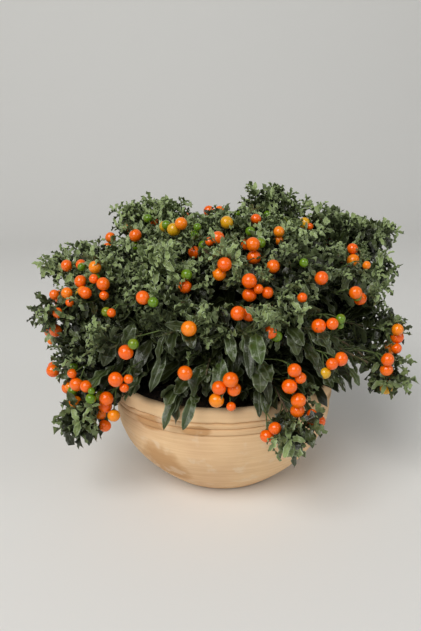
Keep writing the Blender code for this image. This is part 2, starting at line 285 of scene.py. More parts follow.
def tube_template(sides, rings):
    """A closed tube one unit high and one in radius, with evenly spaced rings."""
    bm = bmesh.new()
    bmesh.ops.create_circle(bm, cap_ends=True, radius=1, segments=sides)
    end = bm.faces[:][0]
    for _ in range(rings - 1):
        step = bmesh.ops.extrude_face_region(bm, geom=[end, *end.edges])
        end = next(item for item in step["geom"] if isinstance(item, bmesh.types.BMFace))
        bmesh.ops.translate(bm, vec=(0, 0, 1 / (rings - 1)), verts=end.verts[:])
    bmesh.ops.recalc_face_normals(bm, faces=bm.faces[:])
    for face in bm.faces:
        face.smooth = len(face.verts) == 4
    return mesh_of(bm, "tube")


def swept(paths, radii, sides):
    """Round bars along paths of (bar, ring, xyz), with a radius for each ring."""
    rings = paths.shape[1]
    template = tube_template(sides, rings)
    unit_points = coordinates(template)
    ring = np.rint(unit_points[:, 2] * (rings - 1)).astype(int)
    tangents = unit(np.gradient(paths, axis=1))
    across = np.zeros_like(paths)
    across[:, 0] = beside(tangents[:, 0])
    for i in range(1, rings):
        across[:, i] = square_to(across[:, i - 1], tangents[:, i])
    other = np.cross(tangents, across)
    points = paths[:, ring] + radii[:, ring, None] * (
        across[:, ring] * unit_points[:, 0, None] + other[:, ring] * unit_points[:, 1, None]
    )
    return repeated(template, points)


# Columns and rows of faces on each kind of leaf.
SMALL_GRID, LARGE_GRID, NEAR_GRID, INNER_GRID = (2, 8), (4, 9), (6, 16), (2, 5)
LEAF_HALF_THICKNESS = 0.22 * MM
STALK_LENGTH, STALK_WIDTH = 0.08, 0.08  # as shares of the leaf's length and width
WAVES_ALONG = (2.3, 3.3)  # the fewest and the most waves along a leaf's margin
LOBE_DEPTH = 0.42  # how deep the margin is cut where the frill is one


def leaf_template(columns, rows):
    """A flat closed leaf, -1 to 1 across and 0 to 1 along, whose two skins meet at a crisp margin."""
    bm = bmesh.new()
    bm.loops.layers.uv.new("blade")
    bmesh.ops.create_grid(
        bm, x_segments=columns, y_segments=rows, size=1, calc_uvs=True,
        matrix=Matrix.Translation((0, 0.5, 0)) @ Matrix.Diagonal((1, 0.5, 1, 1)),
    )
    tip = [vert for vert in bm.verts if vert.co.y > 0.999]
    bmesh.ops.pointmerge(bm, verts=tip, merge_co=(0, 1, 0))
    for edge in bm.edges:
        edge.smooth = not edge.is_boundary
    inner = [vert for vert in bm.verts if not vert.is_boundary]
    lower = bmesh.ops.duplicate(bm, geom=bm.verts[:] + bm.edges[:] + bm.faces[:])
    below = [item for item in lower["geom"] if isinstance(item, bmesh.types.BMFace)]
    bmesh.ops.reverse_faces(bm, faces=below)
    under = {vert for face in below for vert in face.verts if not vert.is_boundary}
    bmesh.ops.translate(bm, vec=(0, 0, 1), verts=inner)
    bmesh.ops.translate(bm, vec=(0, 0, -1), verts=list(under))
    bmesh.ops.remove_doubles(bm, verts=bm.verts[:], dist=0.001)
    return mesh_of(bm, "leaf", smooth=True)


# Painted shade: leaves darken inside the outline from this far in, over this much more, by this share at
# most.
SHADE_STARTS, SHADE_DEEPENS, DEEPEST_SHADE = 0.22, 0.36, 0.85
MIDDLE_OF_BLADE = 0.55  # the share of a leaf's length where it hides the most

# A leaf's row of numbers: where it starts, where it heads and where its upper side faces, three each,
# then length, width, downward curl, fold along the midrib, frill of the margin, twist, tone and youth.
# The tone also carries the painted light and shade that shaded() and leafage_mesh() add.
PLACE, HEADING, FACING = slice(0, 3), slice(3, 6), slice(6, 9)
LENGTH, WIDTH, CURL, FOLD, FRILL, TWIST, TONE, YOUTH = range(9, 17)


def shaped_leaves(points, leaves, rng):
    """The template's points bent into every leaf, as (leaf, point, xyz)."""
    across, onward, skin = points.T
    length, width, curl, fold, frill, twist = (leaves[:, i, None] for i in range(LENGTH, TONE))
    blade = np.clip((onward - STALK_LENGTH) / (1 - STALK_LENGTH), 0, 1)
    outline = STALK_WIDTH + (1 - STALK_WIDTH) * blade**0.75 * (1 - blade) ** 0.85 / 0.33
    outline = np.where(onward > 0.999, 0, outline)
    edge = (across > 0).astype(int)
    waves = rng.uniform(*WAVES_ALONG, (len(leaves), 1)) * math.tau
    start = rng.uniform(0, math.tau, (len(leaves), 2))[:, edge]
    uneven = rng.uniform(0.6, 1.3, (len(leaves), 2))[:, edge]
    ripple = uneven * np.sin(waves * onward + start)
    lobed = 1 + LOBE_DEPTH * frill * np.sin(waves * onward + start + 1.9) * np.abs(across)
    out = across * width / 2 * outline * lobed
    lift = fold * np.abs(out) + ripple * frill * width * np.abs(across) ** 1.4 * np.minimum(outline * 1.4, 1)
    lift = lift + skin * LEAF_HALF_THICKNESS
    turn = twist * (onward - 0.3)
    side = np.cross(leaves[:, HEADING], leaves[:, FACING])
    level, rise = out * np.cos(turn) - lift * np.sin(turn), out * np.sin(turn) + lift * np.cos(turn)
    bend = curl * onward
    radius = length / np.where(np.abs(curl) < 1e-3, 1e-3, curl)
    ahead = radius * np.sin(bend) + rise * np.sin(bend)
    above = -radius * (1 - np.cos(bend)) + rise * np.cos(bend)
    return (
        leaves[:, None, PLACE]
        + level[..., None] * side[:, None]
        + ahead[..., None] * leaves[:, None, HEADING]
        + above[..., None] * leaves[:, None, FACING]
    )


def centres_of(leaves, share=0.5):
    """The point of each leaf at a share of its length."""
    return leaves[:, PLACE] + leaves[:, HEADING] * leaves[:, LENGTH, None] * share


def leafage_mesh(leaves, grid, seed):
    """A set of leaves as one mesh, with their blade map, tone, youth and underside; tone and youth carry
    painted shade.
    """
    rng = np.random.default_rng(seed)
    # Painted shade: the deeper a leaf sits inside the outline, the darker its tone and the less its youth
    # shows.
    depth = np.clip((-guide(centres_of(leaves), 1) - SHADE_STARTS) / SHADE_DEEPENS, 0, 1)
    tones = leaves[:, TONE] * (1 - DEEPEST_SHADE * depth)
    template = leaf_template(*grid)
    points = coordinates(template)
    below = np.array([face.normal.z < 0 for face in template.polygons], float)
    mesh = repeated(template, shaped_leaves(points, leaves, rng))
    set_values(mesh, "tone", np.repeat(tones, len(points)))
    set_values(mesh, "youth", np.repeat(leaves[:, YOUTH] * (1 - depth), len(points)))
    set_values(mesh, "underside", np.tile(below, len(leaves)), "FACE")
    return mesh


# ---- how the plant grows


def branch_path(fork, tip):
    """The line of a whole branch, from the top of its trunk to its last leaf's foot."""
    azimuth, reach, height, slope = tip
    start, end = polar(*fork), polar(azimuth, reach, height)
    outward = polar(azimuth, 1 / MM, 0)
    leaving = unit(outward + UP * (1.1 if height > fork[2] else 0.75))
    pitch = math.radians(slope)
    arriving = outward * math.cos(pitch) + UP * math.sin(pitch)
    end = end - arriving * LAST_LEAF
    pull = np.linalg.norm(end - start) * 0.36
    return smooth_path(start, start + leaving * pull, end - arriving * pull, end, 31)


def shoot_path(start, middle, end):
    """The line of a shoot that leaves towards one point and ends at another."""
    return smooth_path(start, middle, middle * 0.4 + end * 0.6, end, 6)


def side_shoots(path, number, spread, rng):
    """The shoots that fan out from the outer half of a branch in a flattened spray, and its own end."""
    heading = unit(path[-1] - path[-4])
    across = unit(np.cross(heading, UP) + rng.normal(0, 0.08, 3))
    over = np.cross(across, heading)
    shoots = [along(path, np.linspace(0.8, 1, 6))]
    for i in range(number):
        near_end = (i + rng.uniform(0.2, 0.8)) / number
        turn = i * GOLDEN_ANGLE + rng.uniform(-0.3, 0.3)
        start = along(path, SPRAY_START + SPRAY_SPAN * near_end)
        reach = spread * (1.05 - 0.5 * near_end) * rng.uniform(0.75, 1.1)
        sideways = across * math.cos(turn) + over * (0.5 * math.sin(turn) + 0.12)
        ahead = heading * reach * (0.55 + 0.2 * near_end)
        end = start + ahead + sideways * reach + UP * 6 * MM
        middle = start + ahead * 0.65 + sideways * reach * 0.3
        shoots.append(shoot_path(start, middle, end))
    return shoots


def guide(points, scale):
    """Below zero inside the rounded outline of the whole plant, drawn in by a scale."""
    x, y, z = points.T
    middle = HEART[2] + OUTLINE_TILT * y
    tall = np.where(z > middle, OUTLINE_ABOVE, OUTLINE_BELOW) * HEIGHT
    parts = x / (OUTLINE_SIDES * HALF_WIDTH), (y - HEART[1]) / HALF_DEPTH, (z - middle) / tall
    return sum(np.abs(part / scale) ** OUTLINE_POWER for part in parts) - 1


def on_guide(azimuth, elevation, scale):
    """The point of the plant's rounded outline in a direction from its middle."""
    flat = math.cos(elevation)
    aim = np.array((math.cos(azimuth) * flat, math.sin(azimuth) * flat, math.sin(elevation)))
    reaches = np.linspace(20, 260, 241) * MM
    inside = guide(HEART + aim * reaches[:, None], scale) < 0
    return HEART + aim * reaches[inside][-1]


def tree_of(points):
    """The points, ready for finding the nearest one to a place."""
    tree = KDTree(len(points))
    for i, point in enumerate(points):
        tree.insert(Vector(point), i)
    tree.balance()
    return tree


def crown_ends():
    """Ends of the shoots between the tallest branches, in rows that step down and inwards."""
    tips = {name: [polar(*row[:3]) for row in rows] for name, _, _, rows in STEMS}
    ends = []
    for first, i, second, j in CROWN_SPANS:
        for down, inward in CROWN_ROWS:
            for part in CROWN_SHARES:
                place = tips[first][i] * (1 - part) + tips[second][j] * part
                ends.append(place - unit(place * (1, 1, 0)) * inward * MM - UP * down * MM)
    return ends


@functools.lru_cache(maxsize=None)
def layout(shoots_per_branch, spread, filling):
    """Every branch line, and every shoot with the stem that it belongs to."""
    rng = np.random.default_rng(11)
    branches, shoots = [], []
    for stem, (_, _, fork, tips) in enumerate(STEMS):
        for tip in tips:
            path = branch_path(fork, tip)
            branches.append((stem, path))
            number = round(shoots_per_branch * (1.3 if tip[2] < LOW_TIP else 1))
            shoots += [(stem, shoot) for shoot in side_shoots(path, number, spread, rng)]
    nearest = tree_of(np.concatenate([path[6:26] for _, path in branches]))
    owner = [stem for stem, path in branches for _ in path[6:26]]
    ends = [shoot[-1] for _, shoot in shoots]
    crown = crown_ends()
    for i in range(len(crown) + filling):
        if i < len(crown):
            end = crown[i]
        else:
            elevation = math.asin(1 - FILLED_DEPTH * (i - len(crown) + 0.5) / filling)
            end = on_guide(i * GOLDEN_ANGLE + rng.uniform(-0.1, 0.1), elevation, rng.uniform(0.76, 0.92))
            gap = np.linalg.norm(np.array(ends) - end, axis=1).min()
            lowest = LOWEST_SIDE_SHOOT if abs(end[0]) > SIDE_REACH else LOWEST_SHOOT
            if gap < SHOOT_GAP or end[2] < lowest:
                continue
        outward = unit(end - SHOOTS_POINT_FROM)
        at, index, _ = nearest.find(Vector(end - outward * FILLING_LENGTH))
        start = np.array(at)
        middle = end - (outward * 0.8 + UP * 0.3) * np.linalg.norm(end - start) * 0.45
        shoots.append((owner[index], shoot_path(start, middle, end)))
        ends.append(end)
    return branches, shoots


def clothed(shoot, count, longest, tone, rng):
    """The rows of the leaves that spiral up a shoot, smaller and more upright towards its tip."""
    age = np.linspace(0, 1, count)
    share = 1 - LEAFY_SHARE * age**0.9
    foot = along(shoot, share)
    axis = unit(foot - along(shoot, share - 0.1))
    turn = rng.uniform(0, math.tau) + np.arange(count) * GOLDEN_ANGLE + rng.normal(0, 0.2, count)
    first = square_to(UP + np.array((0.01, 0.02, 0)), axis)
    second = np.cross(axis, first)
    radial = first * np.cos(turn)[:, None] + second * np.sin(turn)[:, None]
    spread = np.radians(30 + 48 * age**0.6 + rng.normal(0, 10, count))[:, None]
    heading = unit(axis * np.cos(spread) + radial * np.sin(spread) + UP * 0.12)
    facing = square_to(axis * 0.35 + UP + rng.normal(0, 0.42, (count, 3)), heading)
    length = longest * (0.5 + 0.5 * age**0.6) * rng.uniform(0.8, 1.15, count)
    return np.column_stack((
        foot, heading, facing, length,
        length * rng.uniform(0.3, 0.41, count),  # width
        rng.normal(1.0, 0.7, count),  # curl
        rng.uniform(0.2, 0.9, count),  # fold
        rng.uniform(0.28, 0.44, count),  # frill
        rng.normal(0, 0.7, count),  # twist
        np.clip(tone + 0.3 - 0.8 * age + rng.normal(0, 0.2, count), 0, 1),
        np.clip(1.1 - 1.7 * age + rng.normal(0, 0.1, count), 0, 1),  # youth
    ))


def plain_leaf(foot, tip, width, tone, rng):
    """The row of one large smooth leaf that hangs from its foot to its tip."""
    chord = tip - foot
    length = np.linalg.norm(chord)
    curl = rng.uniform(0.35, 0.9)
    line = chord / length
    facing = square_to(UP + line * 0.1 + unit(foot * (1, 1, 0)) * 0.35 + rng.normal(0, 0.28, 3), line)
    heading = line * math.cos(curl / 2) + facing * math.sin(curl / 2)
    facing = square_to(facing, heading)
    return np.concatenate((foot, heading, facing, (
        length * (1 + curl * curl / 24), width, curl,
        rng.uniform(0.12, 0.35),  # fold
        rng.uniform(0.08, 0.18),  # frill
        rng.normal(0, 0.25),  # twist
        tone, -0.5,  # and no youth at all
    )))


def hanging_leaves(number, wood, rng):
    """Large smooth leaves that hang from the wood low round the front in overlapping rows."""
    rows, nearest = [], tree_of(wood)
    for i in range(number):
        azimuth = FRONT_START + FRONT_SWEEP * (i * GOLDEN_SHARE % 1) + rng.normal(0, 2)
        reach = rng.uniform(108, 138)
        height = HANGING_TOP - HANGING_STEP * (i % HANGING_ROWS) + rng.normal(0, 5)
        foot, _, away = nearest.find(Vector(polar(azimuth, reach, height)))
        if away > 30 * MM:
            continue
        foot = np.array(foot)
        hang = unit(foot * (1, 1, 0) + rng.normal(0, 0.035, 3)) * rng.uniform(12, 34)
        tip = foot + (hang - UP * rng.uniform(4, 36)) * MM
        row = plain_leaf(foot, tip, rng.uniform(9, 16) * MM, rng.uniform(0.1, 0.8), rng)
        row[TWIST] = rng.normal(0, 0.9)
        rows.append(row)
    return rows


def trailing_leaves(branches, rng):
    """Large leaves that hang straight down from each branch that reaches over the bowl's side."""
    rows = []
    for _, path in branches:
        if path[-1][2] > BOWL_TOP:
            continue
        for part in (0.58, 0.66, 0.74, 0.82, 0.9):
            foot = along(path, part)
            if np.hypot(*foot[:2]) < OVER_RIM:
                continue
            aim = unit(foot * (0.25, 0.25, 0) + rng.normal(0, 0.02, 3) - UP * 0.15)
            rows.append(plain_leaf(foot, foot + aim * rng.uniform(40, 50) * MM, 14 * MM, 0.4, rng))
    return rows


def inner_leaves(number, rng):
    """Leaves that fill the middle of the plant, kept at the darkest tone as painted shade."""
    rows = []
    for i in range(number):
        rise = i * GOLDEN_SHARE % 1
        foot = polar(i * GOLDEN_DEGREES, rng.uniform(15, 112) * (1 - 0.25 * rise), 128 + 112 * rise**1.1)
        outward = unit(foot * (1, 1, 0))
        heading = unit(outward + rng.normal(0, 0.4, 3) + UP * (rng.uniform(-0.6, 0.3) + 0.5 * rise))
        length = rng.uniform(34, 48) * MM
        rows.append(plain_leaf(foot, foot + heading * length, length * rng.uniform(0.36, 0.48), 0, rng))
    return np.array(rows)


def skirt_leaves(branches, number, rng):
    """Large leaves along the inner part of every branch, hanging outwards and down."""
    rows = []
    for stem, path in branches:
        for i in range(number):
            share = rng.uniform(0.2, 0.7)
            foot = along(path, share)
            line = unit(along(path, share + 0.05) - foot)
            turn = i * GOLDEN_ANGLE + rng.uniform(-0.5, 0.5)
            first = square_to(UP + 0.01, line)
            radial = first * math.cos(turn) + np.cross(line, first) * math.sin(turn)
            outward = unit(foot * (1, 1, 0) + 1e-6)
            heading = unit(radial * 0.8 + line * 0.35 + outward * 0.45 - UP * rng.uniform(0, 0.5))
            length = rng.uniform(34, 52) * MM
            row = plain_leaf(foot, foot + heading * length, length * rng.uniform(0.3, 0.4), 0, rng)
            row[TONE] = rng.uniform(0, 0.35)
            rows.append((stem, row))
    return rows


# ---- where the berries hang


# A berry, with how much of it is bare of leaves and the direction that it is seen from.
Berry = namedtuple("Berry", "place radius ripe bare aim")


def is_free(place, radius, berries, room):
    """Whether a berry has room beside the others and over the bowl."""
    if np.hypot(*place[:2]) < BESIDE_BOWL and place[2] < BOWL_TOP + radius:
        return False
    return all(np.linalg.norm(place - berry.place) > (radius + berry.radius) * room for berry in berries)


def grown_cluster(start, odds, size, others, nearest, rng):
    """One to four touching berries that hang below and beside the first, clear of other clusters."""
    outward = unit(start * (1, 1, 0))
    side = np.cross(UP, outward)
    faces_front = outward @ unit(VIEWPOINT * (1, 1, 0)) > -0.2 or start[2] > HEART[2] + 80 * MM
    aim = unit(VIEWPOINT - start) if faces_front else unit(start - HEART)
    cluster = []
    for _ in range(rng.choice(CLUSTER_COUNTS, p=COUNT_ODDS)):
        ripe = rng.choice(RIPENESS, p=odds)
        radius = size * (GREEN_SIZE if ripe == RIPENESS[0] else 1) * rng.choice(BERRY_SIZES, p=SIZE_ODDS)
        radius *= rng.uniform(0.94, 1.07)
        is_open = rng.uniform() < OPEN_SHARE
        back = 0 if is_open else 1.2 * size
        bare = rng.uniform(0.55, 0.95) if is_open else rng.uniform(0.05, 0.4)
        for _ in range(12):
            place = start - aim * back
            if cluster:
                touched = cluster[rng.integers(len(cluster))]
                hour = math.radians(rng.uniform(70, 290))
                behind = 0.7 if back else rng.uniform(-0.1, 0.3)
                step = side * math.sin(hour) + UP * math.cos(hour) - aim * behind
                place = touched.place + unit(step) * (touched.radius + radius)
            if nearest.find(Vector(place))[2] > LONGEST_STALK:
                continue
            if is_free(place, radius, cluster, TOUCHING) and is_free(place, radius, others, APART):
                cluster.append(Berry(place, radius, ripe + rng.uniform(-0.07, 0.06), bare, aim))
                break
    return cluster


@functools.lru_cache(maxsize=None)
def berry_layout(size, *growth):
    """Every cluster of berries, spread over each region of the plant's outline where shoots grow."""
    nearest = tree_of(np.concatenate([shoot for _, shoot in layout(*growth)[1]]))
    clusters, others = [], []
    for region, (first, last, low, high, count, odds) in enumerate(BERRY_REGIONS):
        rng = np.random.default_rng(60 + region)
        for i in range(count):
            part = (i * GOLDEN_SHARE + rng.uniform(-0.03, 0.03)) % 1
            azimuth = math.radians(first + (last - first) * part)
            elevation = math.radians(low + (high - low) * (i + rng.uniform(0.2, 0.8)) / count)
            start = on_guide(azimuth, elevation, rng.uniform(0.87, 0.95))
            if nearest.find(Vector(start))[2] > NEAR_WOOD:
                continue
            cluster = grown_cluster(start, odds, size, others, nearest, rng)
            if cluster:
                clusters.append(cluster)
                others += cluster
    return clusters


def open_spots(clusters, near):
    """(centre, radius, bareness, aim) of every berry and of spots along the large leaves at the front."""
    spots = [(berry.place, berry.radius, berry.bare, berry.aim) for cluster in clusters for berry in cluster]
    for row in near:
        for share in (0.3, 0.55, 0.8):
            droop = row[CURL] * row[LENGTH] * share**2 / 2
            place = row[PLACE] + row[HEADING] * row[LENGTH] * share - UP * droop
            spots.append((place, row[WIDTH] * 0.55 + 2 * MM, 0.9, unit(VIEWPOINT - place)))
    return spots


SPRAY_SIZE = 62 * MM  # from one spray painted pale to the next, across the hollow painted darker between them
# Painted light on the crown, painted shade on every leaf, and more painted shade in the middle.
CROWN_LIGHT, PLAIN_SHADE, FRONT_SHADE = 0.62, 0.12, 0.14
SIGHT_DEPTH = 75 * MM  # a leaf further in front of a berry than this doesn't count as hiding it


def swells(points, size, seed):
    """A soft random pattern in space, from about -1 to 1, with swells of the given size."""
    rng = np.random.default_rng(seed)
    waves = unit(rng.normal(0, 1, (14, 3))) * rng.uniform(0.7, 1.3, (14, 1)) * math.tau / size
    return np.sin(points @ waves.T + rng.uniform(0, math.tau, 14)).mean(axis=1) * 2.8


def shaded(leaves, rng):
    """Paints light on the sprays and crown and shade in the hollows and middle; tells which leaves stay."""
    centres = centres_of(leaves)
    change = swells(centres, SPRAY_SIZE, 17)
    offset = (centres - HEART) / (HALF_WIDTH, HALF_DEPTH, 0.4 * HEIGHT)
    lift = np.clip(offset[:, 2] - 0.3, -1, 1)
    inside = np.clip(2.2 - 2.6 * np.hypot(offset[:, 0], offset[:, 2]), 0, 1)
    # Painted light and shade: paler where the swells rise and high in the crown, darker in the hollows and
    # the middle.
    tone = leaves[:, TONE] + change + CROWN_LIGHT * lift - PLAIN_SHADE - FRONT_SHADE * inside
    leaves[:, TONE] = np.clip(tone, 0, 1)
    thinned = np.clip(-1.5 * change - 0.38, 0, 0.85) * inside
    return rng.uniform(0, 1, len(leaves)) >= thinned


def uncovering(leaves, spots, rng):
    """Tells which leaves stay once most of those that hide an open spot are gone."""
    keep = np.ones(len(leaves), bool)
    chance = rng.uniform(0, 1, len(leaves))
    middles = centres_of(leaves, MIDDLE_OF_BLADE)
    for place, radius, bare, aim in spots:
        offset = middles - place
        ahead = offset @ aim
        aside = np.linalg.norm(offset - ahead[:, None] * aim, axis=1) - leaves[:, WIDTH] * 0.2
        near = (ahead > -2 * MM) & (ahead < SIGHT_DEPTH)
        keep &= ~(near & (aside < radius) & (chance < bare))
        keep &= ~(near & (aside < radius + 3 * MM) & (chance < bare * 0.5))
        keep &= np.hypot(aside, ahead) > radius
    return keep


# ---- finishes


STAINS = [  # damp patches on the bowl: centre, radius, and how much flatter than wide each is
    (polar(234, 106, 46), 30 * MM, 1.0), (polar(233, 122, 98), 22 * MM, 2.6),
    (polar(256, 122, 99), 16 * MM, 3.0), (polar(20, 112, 50), 22 * MM, 1.0),
]
# Colours that show thinly: bloom on the clay, fibres in the soil and lichen on the bark.
BLOOM, FIBRES, LICHEN = display(240, 222, 196), display(112, 84, 58), display(140, 120, 88)


def opaque(colour):
    """A colour with its alpha at one."""
    return (*colour[:3], 1)


def feed(tree, socket, value):
    """Links a value that is a socket, and sets any other."""
    if isinstance(value, bpy.types.NodeSocket):
        tree.links.new(value, socket)
    else:
        socket.default_value = value


def add(tree, kind, links=(), **values):
    """A node with its settings, and with its inputs fed by name or number."""
    made = tree.nodes.new(kind)
    for name, value in values.items():
        setattr(made, name, value)
    for name, value in dict(links).items():
        feed(tree, made.inputs[name], value)
    return made


def figured(tree, operation, *values):
    """The result of one sum on sockets and numbers."""
    return add(tree, "ShaderNodeMath", dict(enumerate(values)), operation=operation).outputs[0]


def sloped(tree, value, low, high, to_low=0.0, to_high=1.0):
    """A value brought from one range to another with soft ends."""
    return add(tree, "ShaderNodeMapRange", {
        "Value": value, "From Min": low, "From Max": high, "To Min": to_low, "To Max": to_high,
    }, interpolation_type="SMOOTHSTEP").outputs["Result"]


def mixed(tree, factor, first, second):
    """The first colour turning into the second by a factor."""
    node = add(tree, "ShaderNodeMix", {0: factor}, data_type="RGBA")
    for i, value in ((6, first), (7, second)):
        feed(tree, node.inputs[i], value if isinstance(value, bpy.types.NodeSocket) else opaque(value))
    return node.outputs[2]


def tinted(tree, colour, mask, strength, over):
    """A colour with another laid over it where a mask is, at a strength."""
    return mixed(tree, figured(tree, "MULTIPLY", mask, strength), colour, over)


def clouds(tree, where, scale, detail):
    """Soft noise from about 0 to 1."""
    return add(tree, "ShaderNodeTexNoise", {"Vector": where, "Scale": scale, "Detail": detail}).outputs[0]


def stored(tree, name):
    """A value that the mesh holds."""
    return add(tree, "ShaderNodeAttribute", attribute_name=name).outputs["Fac"]


def mottle(group, given, result):
    """Cloudy patches of a second colour over a first."""
    low = figured(group, "SUBTRACT", given["Middle"], given["Softness"])
    high = figured(group, "ADD", given["Middle"], given["Softness"])
    mask = sloped(group, clouds(group, given["Vector"], given["Scale"], 4.0), low, high)
    feed(group, result["Colour"], mixed(group, mask, given["First"], given["Second"]))
    feed(group, result["Mask"], mask)


def patch(group, given, result):
    """A soft-edged, ragged patch round one point."""
    ends = {0: given["Vector"], 1: given["Centre"]}
    offset = add(group, "ShaderNodeVectorMath", ends, operation="SUBTRACT").outputs[0]
    parts = add(group, "ShaderNodeSeparateXYZ", {0: offset}).outputs
    tall = figured(group, "MULTIPLY", parts["Z"], given["Squash"])
    flat = add(group, "ShaderNodeCombineXYZ", {0: parts["X"], 1: parts["Y"], 2: tall})
    far = add(group, "ShaderNodeVectorMath", {0: flat.outputs[0]}, operation="LENGTH").outputs["Value"]
    raggedness = 25 * MM
    near_edge = figured(group, "SUBTRACT", far, raggedness / 2)
    ragged = figured(group, "MULTIPLY_ADD", clouds(group, given["Vector"], 45.0, 3.0), raggedness, near_edge)
    share = figured(group, "DIVIDE", ragged, given["Radius"])
    feed(group, result["Mask"], sloped(group, share, 1.12, 0.66))


def grain(group, given, result):
    """The height of a fine, two-scale grain."""
    coarse = clouds(group, given["Vector"], given["Coarse Scale"], 3.0)
    fine = clouds(group, given["Vector"], given["Fine Scale"], 2.0)
    feed(group, result["Height"], figured(group, "MULTIPLY_ADD", fine, given["Fine Share"], coarse))


# Each shared node group: what draws its inside, its inputs with their defaults, and its outputs.
SOCKETS = {1: "NodeSocketFloat", 3: "NodeSocketVector", 4: "NodeSocketColor"}
NOWHERE, GREY = (0, 0, 0), (0.5, 0.5, 0.5, 1)
GROUPS = {
    "Mottle": (mottle, {
        "Vector": NOWHERE, "First": GREY, "Second": GREY, "Scale": 30.0, "Middle": 0.5, "Softness": 0.15,
    }, {"Colour": 4, "Mask": 1}),
    "Patch": (patch, {"Vector": NOWHERE, "Centre": NOWHERE, "Radius": 0.03, "Squash": 1.0}, {"Mask": 1}),
    "Grain": (grain, {
        "Vector": NOWHERE, "Coarse Scale": 200.0, "Fine Scale": 900.0, "Fine Share": 0.4,
    }, {"Height": 1}),
}


def grouped(tree, name, links):
    """The outputs of a shared node group, which is built the first time that it is asked for."""
    group = bpy.data.node_groups.get(name)
    if not group:
        draw, inputs, outputs = GROUPS[name]
        group = bpy.data.node_groups.new(name, "ShaderNodeTree")
        for label, default in inputs.items():
            kind = SOCKETS[np.size(default)]
            group.interface.new_socket(label, in_out="INPUT", socket_type=kind).default_value = default
        for label, size in outputs.items():
            group.interface.new_socket(label, in_out="OUTPUT", socket_type=SOCKETS[size])
        draw(group, group.nodes.new("NodeGroupInput").outputs, group.nodes.new("NodeGroupOutput").inputs)
    return add(tree, "ShaderNodeGroup", links, node_tree=group).outputs


def mottled(tree, where, scale, middle, softness, *colours):
    """Cloudy patches: two colours mixed, or the mask alone where no colours are given."""
    links = {"Vector": where, "Scale": scale, "Middle": middle, "Softness": softness}
    links.update(zip(("First", "Second"), map(opaque, colours)))
    return grouped(tree, "Mottle", links)["Colour" if colours else "Mask"]


def new_finish(name):
    """A new material, its tree and its object coordinates."""
    finish = bpy.data.materials.new(name)
    finish.use_nodes = True
    return finish, finish.node_tree, finish.node_tree.nodes.new("ShaderNodeTexCoord").outputs["Object"]


def shaded_with(finish, links):
    """The finish with its shader's sockets fed by name."""
    for name, value in links.items():
        feed(finish.node_tree, finish.node_tree.nodes["Principled BSDF"].inputs[name], value)
    return finish


def grained(finish, where, links, scales, strength, depth, marks=None, marks_share=0.0):
    """The finish with its shader fed, and a bump of fine grain and any further marks.
    The grain has a coarse scale, a fine scale and a share of the fine."""
    tree = finish.node_tree
    names = ("Coarse Scale", "Fine Scale", "Fine Share")
    height = grouped(tree, "Grain", {"Vector": where, **dict(zip(names, scales))})["Height"]
    if marks:
        height = figured(tree, "MULTIPLY_ADD", marks, marks_share, height)
    bump = add(tree, "ShaderNodeBump", {"Strength": strength, "Distance": depth, "Height": height})
    return shaded_with(finish, {**links, "Normal": bump.outputs["Normal"]})


def terracotta_finish(bowl):
    """Pale fired clay with cloudy patches, damp stains, throwing lines and a dry grain."""
    finish, tree, where = new_finish("terracotta")
    height = add(tree, "ShaderNodeSeparateXYZ", {0: where}).outputs["Z"]
    squeezed = add(tree, "ShaderNodeMapping", {"Vector": where, "Scale": (2.0, 2.0, 55.0)})
    streaks = clouds(tree, squeezed.outputs[0], 8.0, 3.0)
    colour = mottled(tree, where, 14.0, 0.52, 0.14, bowl.clay, bowl.pale_clay)
    colour = tinted(tree, colour, sloped(tree, streaks, 0.4, 0.62), 0.17, bowl.stain)
    names = ("Centre", "Radius", "Squash")
    masks = [grouped(tree, "Patch", {"Vector": where, **dict(zip(names, row))})["Mask"] for row in STAINS]
    stains = functools.reduce(lambda first, second: figured(tree, "MAXIMUM", first, second), masks)
    colour = tinted(tree, colour, stains, 0.75, bowl.stain)
    colour = tinted(tree, colour, mottled(tree, where, 60.0, 0.62, 0.08), 0.35, BLOOM)
    band_foot = bowl.height - bowl.band_depth
    banded = sloped(tree, height, band_foot - 1.2 * MM, band_foot + 0.8 * MM)
    colour = tinted(tree, colour, banded, 0.65, bowl.pale_clay)
    over_neck = sloped(tree, height, band_foot - 17.7 * MM, band_foot - 13.7 * MM)
    under_band = sloped(tree, height, band_foot + 0.3 * MM, band_foot - 1.7 * MM)
    colour = tinted(tree, colour, figured(tree, "MULTIPLY", over_neck, under_band), 0.12, bowl.stain)
    links = {"Base Color": colour, "Roughness": 0.82, "Specular IOR Level": 0.3}
    return grained(finish, where, links, (160.0, 900.0, 0.5), 0.35, 0.6 * MM, streaks, 0.8)


def soil_finish(soil):
    """Dark damp potting mix with paler fibres and crumbs."""
    finish, tree, where = new_finish("potting_mix")
    colour = mottled(tree, where, 160.0, 0.55, 0.12, soil.damp, soil.dry)
    colour = tinted(tree, colour, mottled(tree, where, 420.0, 0.66, 0.04), 0.5, FIBRES)
    links = {"Base Color": colour, "Roughness": 0.95}
    return grained(finish, where, links, (260.0, 900.0, 0.6), 0.6, 1.5 * MM)


def bark_finish(stems):
    """Grey-brown bark low down, greener on the younger wood above."""
    finish, tree, where = new_finish("bark")
    height = add(tree, "ShaderNodeSeparateXYZ", {0: where}).outputs["Z"]
    colour = mixed(tree, sloped(tree, height, 130 * MM, 210 * MM), stems.bark, stems.young_bark)
    colour = tinted(tree, colour, mottled(tree, where, 240.0, 0.58, 0.08), 0.45, LICHEN)
    links = {"Base Color": colour, "Roughness": 0.8}
    return grained(finish, where, links, (300.0, 1200.0, 0.4), 0.5, 0.6 * MM)


